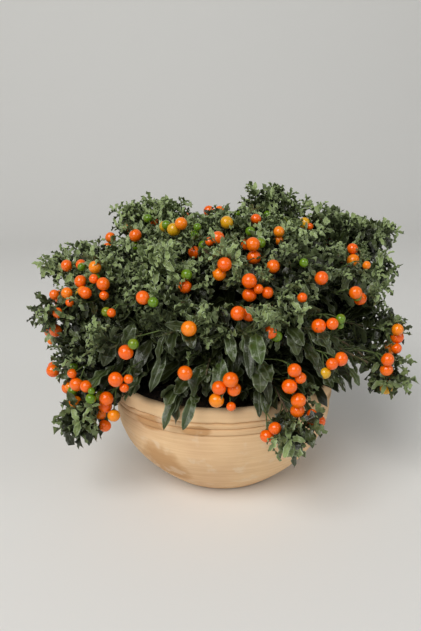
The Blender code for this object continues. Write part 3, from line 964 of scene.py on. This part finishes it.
def leaf_finish(foliage):
    """Grey-green to dark green blades by painted light and shade, a pale midrib and side veins, a painted
    glint along the margin, duller and paler below.
    """
    finish, tree, where = new_finish("leaf")
    tone, youth, below = (stored(tree, name) for name in ("tone", "youth", "underside"))
    blade = add(tree, "ShaderNodeUVMap", uv_map="blade").outputs[0]
    parts = add(tree, "ShaderNodeSeparateXYZ", {0: blade}).outputs
    # Painted light and shade: the tone mixes a shaded dark copy and a lit grey-green copy of the leaf colour.
    lit = mixed(tree, sloped(tree, youth, 0.0, -0.4), foliage.grey_leaf, foliage.large_leaf)
    colour = mixed(tree, tone, foliage.dark_leaf, lit)
    colour = tinted(tree, colour, youth, 0.55, foliage.young_leaf)
    colour = tinted(tree, colour, mottled(tree, where, 210.0, 0.5, 0.2), 0.3, foliage.dark_leaf)
    off_rib = figured(tree, "ABSOLUTE", figured(tree, "SUBTRACT", parts["X"], 0.5))
    slant = figured(tree, "MULTIPLY_ADD", off_rib, -1.1, parts["Y"])
    ridges = figured(tree, "SINE", figured(tree, "MULTIPLY", slant, 44.0))
    side_veins = figured(tree, "MULTIPLY", sloped(tree, ridges, 0.8, 1.0), 0.35)
    veins = figured(tree, "MAXIMUM", sloped(tree, off_rib, 0.085, 0.02), side_veins)
    # Painted highlight: a pale glint along each leaf's margin, in the vein colour.
    rim = figured(tree, "MULTIPLY", sloped(tree, off_rib, 0.34, 0.5), 0.7)
    veins_and_glint = figured(tree, "MAXIMUM", figured(tree, "MULTIPLY", veins, 0.28), rim)
    veins_and_glint = figured(tree, "MULTIPLY", veins_and_glint, sloped(tree, youth, -0.5, 0.0, 0.4, 1.0))
    # Painted light: veins and margin glint show more strongly on leaves of lighter tone.
    colour = tinted(tree, colour, veins_and_glint, sloped(tree, tone, -0.2, 0.7), foliage.vein_and_glint)
    colour = tinted(tree, colour, below, 0.45, foliage.under_leaf)
    rough = figured(tree, "MULTIPLY_ADD", below, 0.25, 0.28)
    links = {"Base Color": colour, "Roughness": rough, "Specular IOR Level": 0.5}
    return grained(finish, where, links, (350.0, 1200.0, 0.3), 0.5, 0.9 * MM, veins, -0.6)


def twig_finish(green, pale):
    """Fresh green twigs and stalks with paler patches."""
    finish, tree, where = new_finish("green_twig")
    colour = mottled(tree, where, 120.0, 0.5, 0.2, green, pale)
    links = {"Base Color": colour, "Roughness": 0.6}
    return grained(finish, where, links, (500.0, 1500.0, 0.3), 0.3, 0.3 * MM)


def berry_finish(berries):
    """Glossy thin skin that turns from green through yellow and orange to red as it ripens."""
    finish, tree, where = new_finish("berry")
    uneven = figured(tree, "SUBTRACT", clouds(tree, where, 70.0, 2.0), 0.5)
    ripe = figured(tree, "MULTIPLY_ADD", uneven, 0.22, stored(tree, "ripeness"))
    ramp = add(tree, "ShaderNodeValToRGB", {"Fac": ripe})
    stages = ((0.1, berries.green), (0.42, berries.yellow), (0.7, berries.orange), (0.95, berries.red))
    while len(ramp.color_ramp.elements) < len(stages):
        ramp.color_ramp.elements.new(0.5)
    for element, (position, colour) in zip(ramp.color_ramp.elements, stages):
        element.position, element.color = position, opaque(colour)
    links = {
        "Base Color": ramp.outputs["Color"], "Roughness": 0.18, "Specular IOR Level": 0.6,
        "Subsurface Weight": 0.12, "Subsurface Radius": (1.0, 0.35, 0.1), "Subsurface Scale": 3 * MM,
    }
    return grained(finish, where, links, (260.0, 1400.0, 0.15), 0.08, 0.4 * MM)


# ---- settings


def a_length(name, description, default):
    return FloatProperty(name=name, description=description, default=default, min=0, max=1, unit="LENGTH")


def a_colour(name, description, *default):
    return FloatVectorProperty(name=name, description=description, default=display(*default), subtype="COLOR",
                               size=3, min=0, max=1)


def a_count(name, description, default, low, high):
    return IntProperty(name=name, description=description, default=default, min=low, max=high)


def a_power(name, description, default):
    return FloatProperty(name=name, description=description, default=default, min=0, unit="POWER")


class BowlSettings(PropertyGroup):
    height: a_length("Height", "From the table to the top of the rim", BOWL_TOP)
    base: a_length("Base radius", "Radius of the flat underside", 0.062)
    belly: a_length("Belly radius", "Radius of the wall below the neck", 0.121)
    belly_height: a_length("Belly height", "Height at which the wall stands upright", 0.085)
    band: a_length("Band radius", "Radius of the plain band under the rim", 0.126)
    band_depth: a_length("Band depth", "Height of the plain band", 0.0133)
    wall: a_length("Wall", "Thickness of the wall", 0.009)
    floor: a_length("Floor", "Thickness of the bottom", 0.010)
    ripple: a_length("Throwing ripple", "Depth of the lines left by the potter's fingers", 0.00022)
    dents: a_length("Dents", "Unevenness of the band's lower edge", 0.0022)
    steps: a_count("Steps", "Divisions round the bowl", 160, 24, 360)
    clay: a_colour("Clay", "Main colour of the fired clay", 227, 190, 148)
    pale_clay: a_colour("Pale clay", "Paler patches and the band", 238, 203, 158)
    stain: a_colour("Stain", "Damp and mineral stains", 190, 142, 92)


class SoilSettings(PropertyGroup):
    level: a_length("Level", "Height at which the soil meets the wall", SOIL_EDGE)
    crown: a_length("Crown", "How much higher it is in the middle", SOIL_TOP - SOIL_EDGE)
    roughness: a_length("Roughness", "Unevenness of the surface", 0.0022)
    crumbs: a_count("Crumbs", "Loose crumbs on the surface", 420, 0, 1000)
    damp: a_colour("Damp soil", "Main colour of the mix", 38, 28, 20)
    dry: a_colour("Dry soil", "Colour where it has dried", 74, 54, 38)


class StemSettings(PropertyGroup):
    foot: a_length("Foot radius", "Radius of each trunk at the soil", 0.0044)
    top: a_length("Top radius", "Radius of each trunk at its fork", 0.0034)
    branch: a_length("Branch radius", "Radius of a branch at the fork", 0.0021)
    end: a_length("Tip radius", "Radius of a branch at its end", 0.0009)
    bark: a_colour("Bark", "Old bark near the soil", 82, 66, 46)
    young_bark: a_colour("Young bark", "Bark of the upper branches", 60, 66, 36)


class FoliageSettings(PropertyGroup):
    shoots: a_count("Shoots", "Side shoots on each branch", 19, 1, 40)
    filling: a_count("Filling", "Places tried for a shoot between sprays", 820, 0, 1500)
    leaves: a_count("Leaves", "Small leaves on a shoot 32 mm long", 14, 3, 30)
    large: a_count("Large leaves", "Large leaves on each branch", 14, 0, 40)
    hanging: a_count("Hanging leaves", "Large leaves low round the front", 96, 0, 120)
    # The inner leaves keep the darkest tone: painted shade in the middle of the plant.
    inner: a_count("Inner leaves", "Old leaves in the middle of the plant", 760, 0, 1000)
    spread: a_length("Spread", "Reach of a spray to each side of its branch", 0.042)
    leaf: a_length("Leaf", "Length of a grown small leaf", 0.0212)
    twig: a_length("Twig radius", "Radius of a twig at its foot", 0.0008)
    # Dark leaf and grey leaf are shaded and lit copies of the leaf colour, mixed by each leaf's tone: painted
    # shade and painted light. The dark one also tints random dark patches.
    dark_leaf: a_colour("Dark leaf", "Old leaves deep in the plant", 26, 31, 3)
    grey_leaf: a_colour("Grey leaf", "Sunlit grey-green leaves", 136, 153, 90)
    young_leaf: a_colour("Young leaf", "Leaves at the tips", 172, 194, 126)
    large_leaf: a_colour("Large leaf", "Large smooth leaves low in the plant", 72, 92, 38)
    under_leaf: a_colour("Underside", "Lower side of the blade", 92, 106, 68)
    # The vein colour also paints a highlight along each leaf's margin.
    vein_and_glint: a_colour("Vein", "Midrib, side veins and margin", 190, 206, 170)
    twig_colour: a_colour("Twig", "Green twigs and stalks", 52, 62, 26)
    young_twig: a_colour("Young twig", "Paler parts of the twigs", 76, 88, 42)


class BerrySettings(PropertyGroup):
    size: a_length("Berry radius", "Radius of a ripe berry", 0.0067)
    stalk: a_length("Stalk radius", "Radius of a berry's stalk", 0.0006)
    green: a_colour("Green", "Unripe skin", 98, 134, 20)
    yellow: a_colour("Yellow", "Turning skin", 222, 168, 20)
    orange: a_colour("Orange", "Nearly ripe skin", 253, 134, 8)
    red: a_colour("Red", "Ripe skin", 250, 102, 2)
    twig: a_colour("Stalk", "Stalks and calyxes", 62, 76, 30)
    calyx: a_colour("Calyx", "Paler parts of the stalks", 84, 104, 44)


class StageSettings(PropertyGroup):
    floor: a_colour("Floor", "Pale floor and backdrop", 232, 232, 230)
    key: a_power("Key light", "Strength of the large soft light", 146.0)
    fill: a_power("Fill light", "Strength of the light from the right", 16.0)
    sky: FloatProperty(name="Sky", description="Strength of the even light all round", default=0.24, min=0)


# ---- bowl and soil


def turned(profile, steps):
    """The solid that a profile of (radius, height) points sweeps about the upright axis."""
    bm = bmesh.new()
    verts = [bm.verts.new((radius, 0, height)) for radius, height in profile]
    edges = [bm.edges.new(pair) for pair in zip(verts, verts[1:])]
    bmesh.ops.spin(
        bm, geom=verts + edges, cent=(0, 0, 0), axis=(0, 0, 1), angle=math.tau, steps=steps,
        use_merge=True, use_duplicate=False,
    )
    bmesh.ops.remove_doubles(bm, verts=bm.verts[:], dist=0.01 * MM)
    bmesh.ops.recalc_face_normals(bm, faces=bm.faces[:])
    return bm


def body_radius(height, bowl):
    """The bowl's outer radius below its neck: a parabola from the base up to the belly."""
    rise = min(height / bowl.belly_height, 1)
    return bowl.base + (bowl.belly - bowl.base) * (1 - (1 - rise) ** 2)


# The two ridges over the neck: their foot and top above it, how far out they start, and how far they swell.
# The band: points inwards from its radius and up from its foot. The rim: points inwards and down from the
# top. All in millimetres.
RIDGES = [(2, 8.4, 0.7, 1.5), (9, 15.3, 0.9, 1.6)]
BAND_LINE = [(5, -0.9), (4.4, -0.4), (1.5, 0.1), (0.4, 1), (0, 2.6), (0.1, 5), (0.3, 7.5)]
RIM_LINE = [(0.4, 3.4), (1.1, 1.8), (2.5, 0.6), (4.6, 0), (7.4, 0.1), (9.8, 0.9), (11.8, 2.6), (13.2, 5.2)]
NECK_DEPTH, ROUNDED_EDGE = 16.5 * MM, 1.5 * MM
# The drainage holes: their number, the azimuth of the first, their reach from the axis and their radius.
DRAINS, FIRST_DRAIN, DRAIN_REACH, DRAIN_RADIUS = 3, 77, 32, 5 * MM


def bowl_profile(bowl, rng):
    """Half a section: flat underside, thrown body, two ridges, plain band, rolled rim and inner wall."""
    band_foot = bowl.height - bowl.band_depth
    neck, edge = band_foot - NECK_DEPTH, ROUNDED_EDGE
    profile = [(0, 0), (bowl.base - 3 * edge, 0), (bowl.base - edge, 0.1 * MM)]
    for height in np.linspace(edge, neck, 46):
        profile.append((body_radius(height, bowl) + rng.uniform(-1, 1) * bowl.ripple, height))
    profile += [(bowl.belly - 0.6 * MM, neck + 1.0 * MM), (bowl.belly - 0.6 * MM, neck + 1.6 * MM)]
    for low, high, out, swell in RIDGES:
        for turn in np.linspace(0, math.pi, 7):
            rise = low + (high - low) * (1 - math.cos(turn)) / 2
            profile.append((bowl.belly + (out + swell * math.sin(turn) ** 0.8) * MM, neck + rise * MM))
        profile.append((bowl.belly + (out - 0.3) * MM, neck + (high + 0.3) * MM))
    profile += [(bowl.band - inward * MM, band_foot + up * MM) for inward, up in BAND_LINE]
    profile += [(bowl.band - inward * MM, bowl.height - down * MM) for inward, down in RIM_LINE]
    for height in np.linspace(bowl.height - 9 * MM, bowl.floor + 2 * MM, 14):
        profile.append((body_radius(height, bowl) - bowl.wall, height))
    profile += [(body_radius(bowl.floor, bowl) - bowl.wall - 3 * MM, bowl.floor), (0, bowl.floor)]
    return profile


def worn(vert, bowl):
    """Moves one point of the turned bowl as hands, drying and knocks have."""
    reach = math.hypot(vert.co.x, vert.co.y)
    if reach < bowl.base or vert.co.z < 2 * MM:
        return
    ray = Vector((vert.co.x / reach, vert.co.y / reach, 0))
    band_foot = bowl.height - bowl.band_depth
    near_band = min(max((vert.co.z - band_foot + 8 * MM) / (7 * MM), 0), 1)
    near_top = min(max((vert.co.z - band_foot - 2 * MM) / (11 * MM), 0), 1)
    slow, quick = noise.noise(ray * 3.1), noise.noise(ray * 9 + Vector((4, 1, 0)))
    knocks = min(noise.noise(ray * 16 + Vector((0, 7, 2))) + 0.25, 0)
    vert.co.z += bowl.dents * (0.7 * slow + 0.7 * quick + knocks) * near_band * (1 - 0.75 * near_top)
    swell = 0.5 * noise.noise(ray * 1.3 + Vector((9, 0, vert.co.z * 9)))
    pressed = 0.5 * noise.noise(ray * 7 + Vector((0, 0, vert.co.z * 55)))
    vert.co += ray * bowl.dents * (swell * 0.6 + pressed * 0.4)


def drained(bm, bowl):
    """The bowl with its drainage holes, cut by plain cylinders."""
    solid = linked("bowl", mesh_of(bm, "bowl"))
    cutters = bmesh.new()
    for i in range(DRAINS):
        place = Vector(polar(FIRST_DRAIN + 360 / DRAINS * i, DRAIN_REACH, bowl.floor / MM / 2))
        bmesh.ops.create_cone(
            cutters, cap_ends=True, segments=24, radius1=DRAIN_RADIUS, radius2=DRAIN_RADIUS,
            depth=3 * bowl.floor, matrix=Matrix.Translation(place),
        )
    cutter = linked("drains", mesh_of(cutters, "drains"))
    modifier = solid.modifiers.new("drains", "BOOLEAN")
    modifier.operation, modifier.object, modifier.solver = "DIFFERENCE", cutter, "EXACT"
    bpy.context.view_layer.update()
    result = bpy.data.meshes.new_from_object(solid.evaluated_get(bpy.context.evaluated_depsgraph_get()))
    for spent in (solid, cutter):
        bpy.data.objects.remove(spent)
    return result


class MESH_OT_cherry_bowl(Operator):
    """Turn the terracotta bowl, dent its band and cut its drainage holes"""
    bl_idname = "mesh.cherry_bowl"
    bl_label = "Terracotta Bowl"

    def execute(self, context):
        bowl = context.scene.cherry_bowl
        bm = turned(bowl_profile(bowl, np.random.default_rng(3)), bowl.steps)
        for vert in bm.verts:
            worn(vert, bowl)
        mesh = drained(bm, bowl)
        mesh.shade_smooth()
        mesh.set_sharp_from_angle(angle=math.radians(48))
        add_piece("bowl", mesh, terracotta_finish(bowl), ["terracotta_bowl"])
        return {"FINISHED"}


SOIL_GAP = 0.5 * MM  # between the soil and the bowl
CRUMB_SIZES = (0.7, 2.6)


def ground_mesh(bowl, soil):
    """The soil as one solid with a rough, crowned top, and the radius of that top."""
    foot = bowl.floor + SOIL_GAP
    profile = [(0, foot), (body_radius(foot, bowl) - bowl.wall - 4 * MM, foot)]
    for height in np.linspace(foot + 3 * MM, soil.level, 8):
        profile.append((body_radius(height, bowl) - bowl.wall - SOIL_GAP, height))
    edge = profile[-1][0]
    for share in np.linspace(0.97, 0, 26):
        profile.append((edge * share, soil.level + soil.crown * (1 - share**2)))
    bm = turned(profile, 96)
    for vert in bm.verts:
        if vert.co.z > soil.level - MM:
            inside = 1 - min(math.hypot(vert.co.x, vert.co.y) / edge, 1) ** 8
            rough = noise.fractal(vert.co * 90, 1.0, 2.2, 4)
            vert.co.z += (rough * soil.roughness - soil.roughness * 0.3) * inside
    return mesh_of(bm, "ground", smooth=True), edge


def crumbs_mesh(soil, edge):
    """Loose crumbs of many sizes, scattered over the soil's top."""
    rng, count = np.random.default_rng(8), soil.crumbs
    template = bmesh.new()
    bmesh.ops.create_icosphere(template, subdivisions=1, radius=1)
    crumb = mesh_of(template, "crumb")
    turn, reach = rng.uniform(0, math.tau, count), edge * 0.97 * rng.uniform(0.02, 1, count) ** 0.5
    height = soil.level + soil.crown * (1 - (reach / edge) ** 2)
    place = np.stack([np.cos(turn) * reach, np.sin(turn) * reach, height], -1)
    size = rng.uniform(*CRUMB_SIZES, count) ** 1.3 * MM
    points = coordinates(crumb) * rng.uniform(0.6, 1.25, (count, 1, 3)) * size[:, None, None]
    points *= rng.uniform(0.75, 1.25, (count, points.shape[1], 1))
    return repeated(crumb, points + place[:, None])


class MESH_OT_cherry_soil(Operator):
    """Fill the bowl with potting mix and scatter crumbs on it"""
    bl_idname = "mesh.cherry_soil"
    bl_label = "Potting Soil"

    def execute(self, context):
        soil = context.scene.cherry_soil
        ground, edge = ground_mesh(context.scene.cherry_bowl, soil)
        filling = joined("soil", [ground, crumbs_mesh(soil, edge)])
        add_piece("soil", filling, soil_finish(soil), ["potting_soil"])
        return {"FINISHED"}


# ---- stems, foliage and berries


class MESH_OT_cherry_stems(Operator):
    """Grow the six woody stems with their branches"""
    bl_idname = "mesh.cherry_stems"
    bl_label = "Woody Stems"

    def execute(self, context):
        stems = context.scene.cherry_stems
        rng = np.random.default_rng(21)
        finish = bark_finish(stems)
        for name, foot, fork, tips in STEMS:
            low, high = polar(*foot, TRUNK_FOOT), polar(*fork)
            rise = np.linalg.norm(high - low) * 0.45 * UP
            trunk = smooth_path(low, low + rise, high - rise * 0.6, high, TRUNK_RINGS)
            paths = np.array([branch_path(fork, tip)[::2] for tip in tips])
            paths[:, 0] -= UP * stems.top * 0.8
            thickness = np.linspace(stems.foot, stems.top, TRUNK_RINGS)
            thickness = thickness * rng.uniform(0.93, 1.1, TRUNK_RINGS)
            slim = np.linspace(stems.branch, stems.end, paths.shape[1])
            slim = slim * rng.uniform(0.9, 1.12, paths.shape[:2])
            wood = joined(name, [swept(trunk[None], thickness[None], 10), swept(paths, slim, 6)])
            add_piece(f"stem_{name}_wood", wood, finish, [f"stem_{name}"])
        return {"FINISHED"}


def grown(scene):
    """The branches, the shoots, the clusters of berries, and the wood that leaves and stalks hang from."""
    foliage = scene.cherry_foliage
    growth = (foliage.shoots, foliage.spread, foliage.filling)
    branches, shoots = layout(*growth)
    wood = np.concatenate([path[8:] for _, path in branches] + [shoot[:3] for _, shoot in shoots])
    return branches, shoots, berry_layout(scene.cherry_berries.size, *growth), wood


def clothes_of(shoots, foliage, rng):
    """The small leaves of all the shoots, and the number of the shoot that each one is on."""
    clothes = []
    for _, shoot in shoots:
        reach = np.linalg.norm(shoot[-1] - shoot[0]) / SHOOT_LENGTH
        count = round(foliage.leaves * min(max(reach, 0.85), 1.7))
        low = min(max((150 * MM - shoot[-1][2]) / (60 * MM), 0), 1)
        clothes.append(clothed(shoot, count, foliage.leaf * (1 + 0.3 * low), rng.uniform(0.3, 0.9), rng))
    return np.concatenate(clothes), np.repeat(range(len(shoots)), [len(rows) for rows in clothes])


def twigs_mesh(shoots, left, foliage):
    """A twig along each shoot, cut short where too few of its leaves are left."""
    paths = np.array([
        shoot if part > BARE_SHARE else along(shoot, np.linspace(0, BARE_SHARE, 6))
        for part, (_, shoot) in zip(left, shoots)
    ])
    radii = np.linspace(foliage.twig, foliage.twig * 0.55, paths.shape[1]) * np.ones(paths.shape[:2])
    return swept(paths, radii, 4)


class MESH_OT_cherry_foliage(Operator):
    """Grow the twigs and clothe them with small frilled leaves and large smooth ones"""
    bl_idname = "mesh.cherry_foliage"
    bl_label = "Foliage"

    def execute(self, context):
        foliage = context.scene.cherry_foliage
        branches, shoots, clusters, wood = grown(context.scene)
        rng = np.random.default_rng(2)
        near = hanging_leaves(foliage.hanging, wood, rng)
        spots = open_spots(clusters, near)
        near += trailing_leaves(branches, np.random.default_rng(70))
        small, which = clothes_of(shoots, foliage, rng)
        keep = uncovering(small, spots, rng) & shaded(small, rng)
        left = np.bincount(which[keep], minlength=len(shoots)) / np.bincount(which)
        keep &= left[which] > BARE_SHARE
        owner = np.array([stem for stem, _ in shoots])[which]
        large = skirt_leaves(branches, foliage.large, rng)
        finish, node = leaf_finish(foliage), 1
        for stem, (name, _, _, tips) in enumerate(STEMS):
            rows = np.array([row for grower, row in large if grower == stem])
            parts = [
                leafage_mesh(small[keep & (owner == stem)], SMALL_GRID, 40 + stem),
                leafage_mesh(rows[uncovering(rows, spots, rng)], LARGE_GRID, 40 + stem),
            ]
            if name == "middle":
                parts.append(leafage_mesh(inner_leaves(foliage.inner, rng), INNER_GRID, 60))
            if name == "front":
                parts.append(leafage_mesh(np.array(near), NEAR_GRID, 50))
            nodes = [f"leafy_shoot_{node + i:02d}" for i in range(len(tips))]
            node += len(tips)
            add_piece(f"foliage_{name}", joined(name, parts), finish, nodes)
        finish = twig_finish(foliage.twig_colour, foliage.young_twig)
        add_piece("twigs", twigs_mesh(shoots, left, foliage), finish, [])
        return {"FINISHED"}


# Reach and height of a calyx's five points and of the notches between them, in berry radii.
CALYX_POINT, CALYX_NOTCH = (0.78, 0.62), (0.26, 0.9)
CALYX_SEAT = 0.86  # the stalk ends and the dimple starts this far from the berry's middle


def berry_template():
    """A slightly flattened round berry with a dimple at its stalk, one unit in radius."""
    bm = bmesh.new()
    bmesh.ops.create_uvsphere(bm, u_segments=16, v_segments=10, radius=1)
    for vert in bm.verts:
        crown = max(vert.co.z - CALYX_SEAT, 0) / 0.14
        vert.co.z = vert.co.z * 0.95 - 0.09 * crown
    return mesh_of(bm, "berry", smooth=True)


def calyx_template():
    """A five-pointed green star cupped over the top of a berry, closed to a point above."""
    bm = bmesh.new()
    bmesh.ops.create_cone(bm, cap_ends=True, segments=10, radius1=1, radius2=0, depth=1,
                          matrix=Matrix.Translation((0, 0, 0.5)))
    rim = [vert for vert in bm.verts if vert.co.z < 0.5]
    rim.sort(key=lambda vert: math.atan2(vert.co.y, vert.co.x))
    for i, vert in enumerate(rim):
        reach, height = CALYX_POINT if i % 2 else CALYX_NOTCH
        vert.co = Vector((vert.co.x * reach, vert.co.y * reach, height))
    for vert in bm.verts:
        if vert.co.z > 0.95:
            vert.co.z = 1.08
    return mesh_of(bm, "calyx")


def stood(template, places, axes, sizes):
    """Copies of a template, sized and placed, each with its Z along an axis."""
    first = beside(axes)
    second = np.cross(axes, first)
    scaled = coordinates(template) * sizes[:, None, None]
    return repeated(template, (
        places[:, None] + scaled[..., 0, None] * first[:, None]
        + scaled[..., 1, None] * second[:, None] + scaled[..., 2, None] * axes[:, None]
    ))


def hung_from(nearest, clusters, rng):
    """The axis of each berry, which points up its stalk, and the lines of all the stalks."""
    axes, stalks = [], []
    for cluster in clusters:
        middle = np.mean([berry.place for berry in cluster], axis=0)
        inward = unit(TRUSSES_POINT_TO - middle)
        knot = middle + (inward + UP * 0.7) * KNOT_REACH
        at = np.array(nearest.find(Vector(knot + inward * 18 * MM))[0])
        halfway = (at + knot) / 2 + inward * 10 * MM
        stalks.append(smooth_path(at, halfway, knot + inward * 12 * MM, knot, 6))
        for berry in cluster:
            axis = unit(knot - berry.place + rng.normal(0, 1.5 * MM, 3))
            top = berry.place + axis * berry.radius * CALYX_SEAT
            bow = (top + knot) / 2 + UP * 2 * MM
            stalks.append(smooth_path(knot, bow, top + axis * 3 * MM, top, 6))
            axes.append(axis)
    return np.array(axes), np.array(stalks)


class MESH_OT_cherry_berries(Operator):
    """Hang the berries in their clusters, with calyxes and stalks that reach the wood"""
    bl_idname = "mesh.cherry_berries"
    bl_label = "Berries"

    def execute(self, context):
        berries = context.scene.cherry_berries
        _, _, clusters, wood = grown(context.scene)
        axes, paths = hung_from(tree_of(wood), clusters, np.random.default_rng(31))
        all_berries = [berry for cluster in clusters for berry in cluster]
        places, sizes, ripeness, _, _ = map(np.array, zip(*all_berries))
        template = berry_template()
        fruit = stood(template, places, axes, sizes)
        stars = stood(calyx_template(), places, axes, sizes)
        set_values(fruit, "ripeness", np.repeat(ripeness, len(template.vertices)))
        nodes = [f"berry_truss_{i + 1:02d}" for i in range(TRUSSES)]
        add_piece("berries", fruit, berry_finish(berries), nodes)
        radii = np.ones(paths.shape[:2]) * berries.stalk
        radii[:, -1] *= 1.5
        stems = joined("stalks", [stars, swept(paths, radii, 5)])
        add_piece("berry_stalks", stems, twig_finish(berries.twig, berries.calyx), [])
        return {"FINISHED"}


# ---- stage


def area_light(name, place, target, size, power, colour):
    """A round soft light that faces a target."""
    data = bpy.data.lights.new(name, "AREA")
    data.shape, data.size, data.energy, data.color = "DISK", size, power, colour
    lamp = linked(name, data)
    lamp.location = place
    lamp.rotation_euler = (Vector(target) - Vector(place)).to_track_quat("-Z", "Y").to_euler()


# How far the floor reaches, how far back and how high the backdrop stands, and the radius of its bend.
FLOOR_REACH, BACKDROP_PLACE, BACKDROP_HEIGHT, BACKDROP_BEND = 4, 3, 3.5, 1.2


def floor_mesh():
    """A floor that curves up into a backdrop behind the plant."""
    bm = bmesh.new()
    corners = [(-FLOOR_REACH, 0), (BACKDROP_PLACE, 0), (BACKDROP_PLACE, BACKDROP_HEIGHT)]
    line = [bm.verts.new((-FLOOR_REACH, back, up)) for back, up in corners]
    for pair in zip(line, line[1:]):
        bm.edges.new(pair)
    bmesh.ops.bevel(
        bm, geom=[line[1]], offset=BACKDROP_BEND, segments=16, profile=0.5, affect="VERTICES", material=-1,
    )
    swept_out = bmesh.ops.extrude_edge_only(bm, edges=bm.edges[:])
    moved = [item for item in swept_out["geom"] if isinstance(item, bmesh.types.BMVert)]
    bmesh.ops.translate(bm, vec=(2 * FLOOR_REACH, 0, 0), verts=moved)
    bmesh.ops.recalc_face_normals(bm, faces=bm.faces[:])
    return mesh_of(bm, "floor", smooth=True)


class SCENE_OT_cherry_stage(Operator):
    """Set the pale floor, the soft lights, the sky and the camera"""
    bl_idname = "scene.cherry_stage"
    bl_label = "Stage"

    def execute(self, context):
        scene, stage = context.scene, context.scene.cherry_stage
        finish, _, _ = new_finish("pale_floor")
        floor = linked("floor", floor_mesh())
        links = {"Base Color": opaque(stage.floor), "Roughness": 0.9}
        floor.data.materials.append(shaded_with(finish, links))
        target = (0, 0, 150 * MM)
        area_light("key", (-1.5, -2.7, 3.1), target, 3.2, stage.key, (1.0, 0.985, 0.96))
        area_light("fill", (2.6, -1.6, 1.6), target, 1.8, stage.fill, (0.96, 0.98, 1.0))
        scene.world = bpy.data.worlds.new("studio")
        scene.world.use_nodes = True
        tree = scene.world.node_tree
        light, output = tree.nodes["Background"], tree.nodes["World Output"]
        feed(tree, light.inputs["Color"], (1.0, 0.99, 0.96, 1))
        feed(tree, light.inputs["Strength"], stage.sky)
        seen = add(tree, "ShaderNodeBackground", {"Color": opaque(stage.floor), "Strength": 0.8})
        eye = add(tree, "ShaderNodeLightPath").outputs["Is Camera Ray"]
        both = add(tree, "ShaderNodeMixShader", {0: eye, 1: light.outputs[0], 2: seen.outputs[0]})
        feed(tree, output.inputs["Surface"], both.outputs[0])
        scene.camera = linked("camera", bpy.data.cameras.new("camera"))
        scene.camera.data.lens, scene.camera.data.sensor_width = LENS, 36
        turn = Matrix.Rotation(VIEW_TILT, 4, "X") @ Matrix.Rotation(VIEW_ROLL, 4, "Z")
        scene.camera.matrix_world = Matrix.Translation(VIEWPOINT) @ turn
        scene.view_settings.view_transform = "Standard"
        return {"FINISHED"}


# ---- panel and registration


class VIEW3D_PT_cherry(Panel):
    """Sizes, colours and buttons for the potted Jerusalem cherry"""
    bl_label = "Jerusalem Cherry"
    bl_space_type = "VIEW_3D"
    bl_region_type = "UI"
    bl_category = "Cherry"

    def draw(self, context):
        for name, settings, step in PARTS:
            box = self.layout.box()
            for key in settings.__annotations__:
                box.prop(getattr(context.scene, name), key)
            box.operator(step.bl_idname)


PARTS = [
    ("cherry_bowl", BowlSettings, MESH_OT_cherry_bowl),
    ("cherry_soil", SoilSettings, MESH_OT_cherry_soil),
    ("cherry_stems", StemSettings, MESH_OT_cherry_stems),
    ("cherry_foliage", FoliageSettings, MESH_OT_cherry_foliage),
    ("cherry_berries", BerrySettings, MESH_OT_cherry_berries),
    ("cherry_stage", StageSettings, SCENE_OT_cherry_stage),
]


def register():
    for name, settings, step in PARTS:
        bpy.utils.register_class(settings)
        bpy.utils.register_class(step)
        setattr(bpy.types.Scene, name, PointerProperty(type=settings))
    bpy.utils.register_class(VIEW3D_PT_cherry)


def unregister():
    bpy.utils.unregister_class(VIEW3D_PT_cherry)
    for name, settings, step in reversed(PARTS):
        delattr(bpy.types.Scene, name)
        bpy.utils.unregister_class(step)
        bpy.utils.unregister_class(settings)


def main():
    register()
    bpy.ops.mesh.cherry_bowl()
    bpy.ops.mesh.cherry_soil()
    bpy.ops.mesh.cherry_stems()
    bpy.ops.mesh.cherry_foliage()
    bpy.ops.mesh.cherry_berries()
    bpy.ops.scene.cherry_stage()


if __name__ == "__main__":
    main()
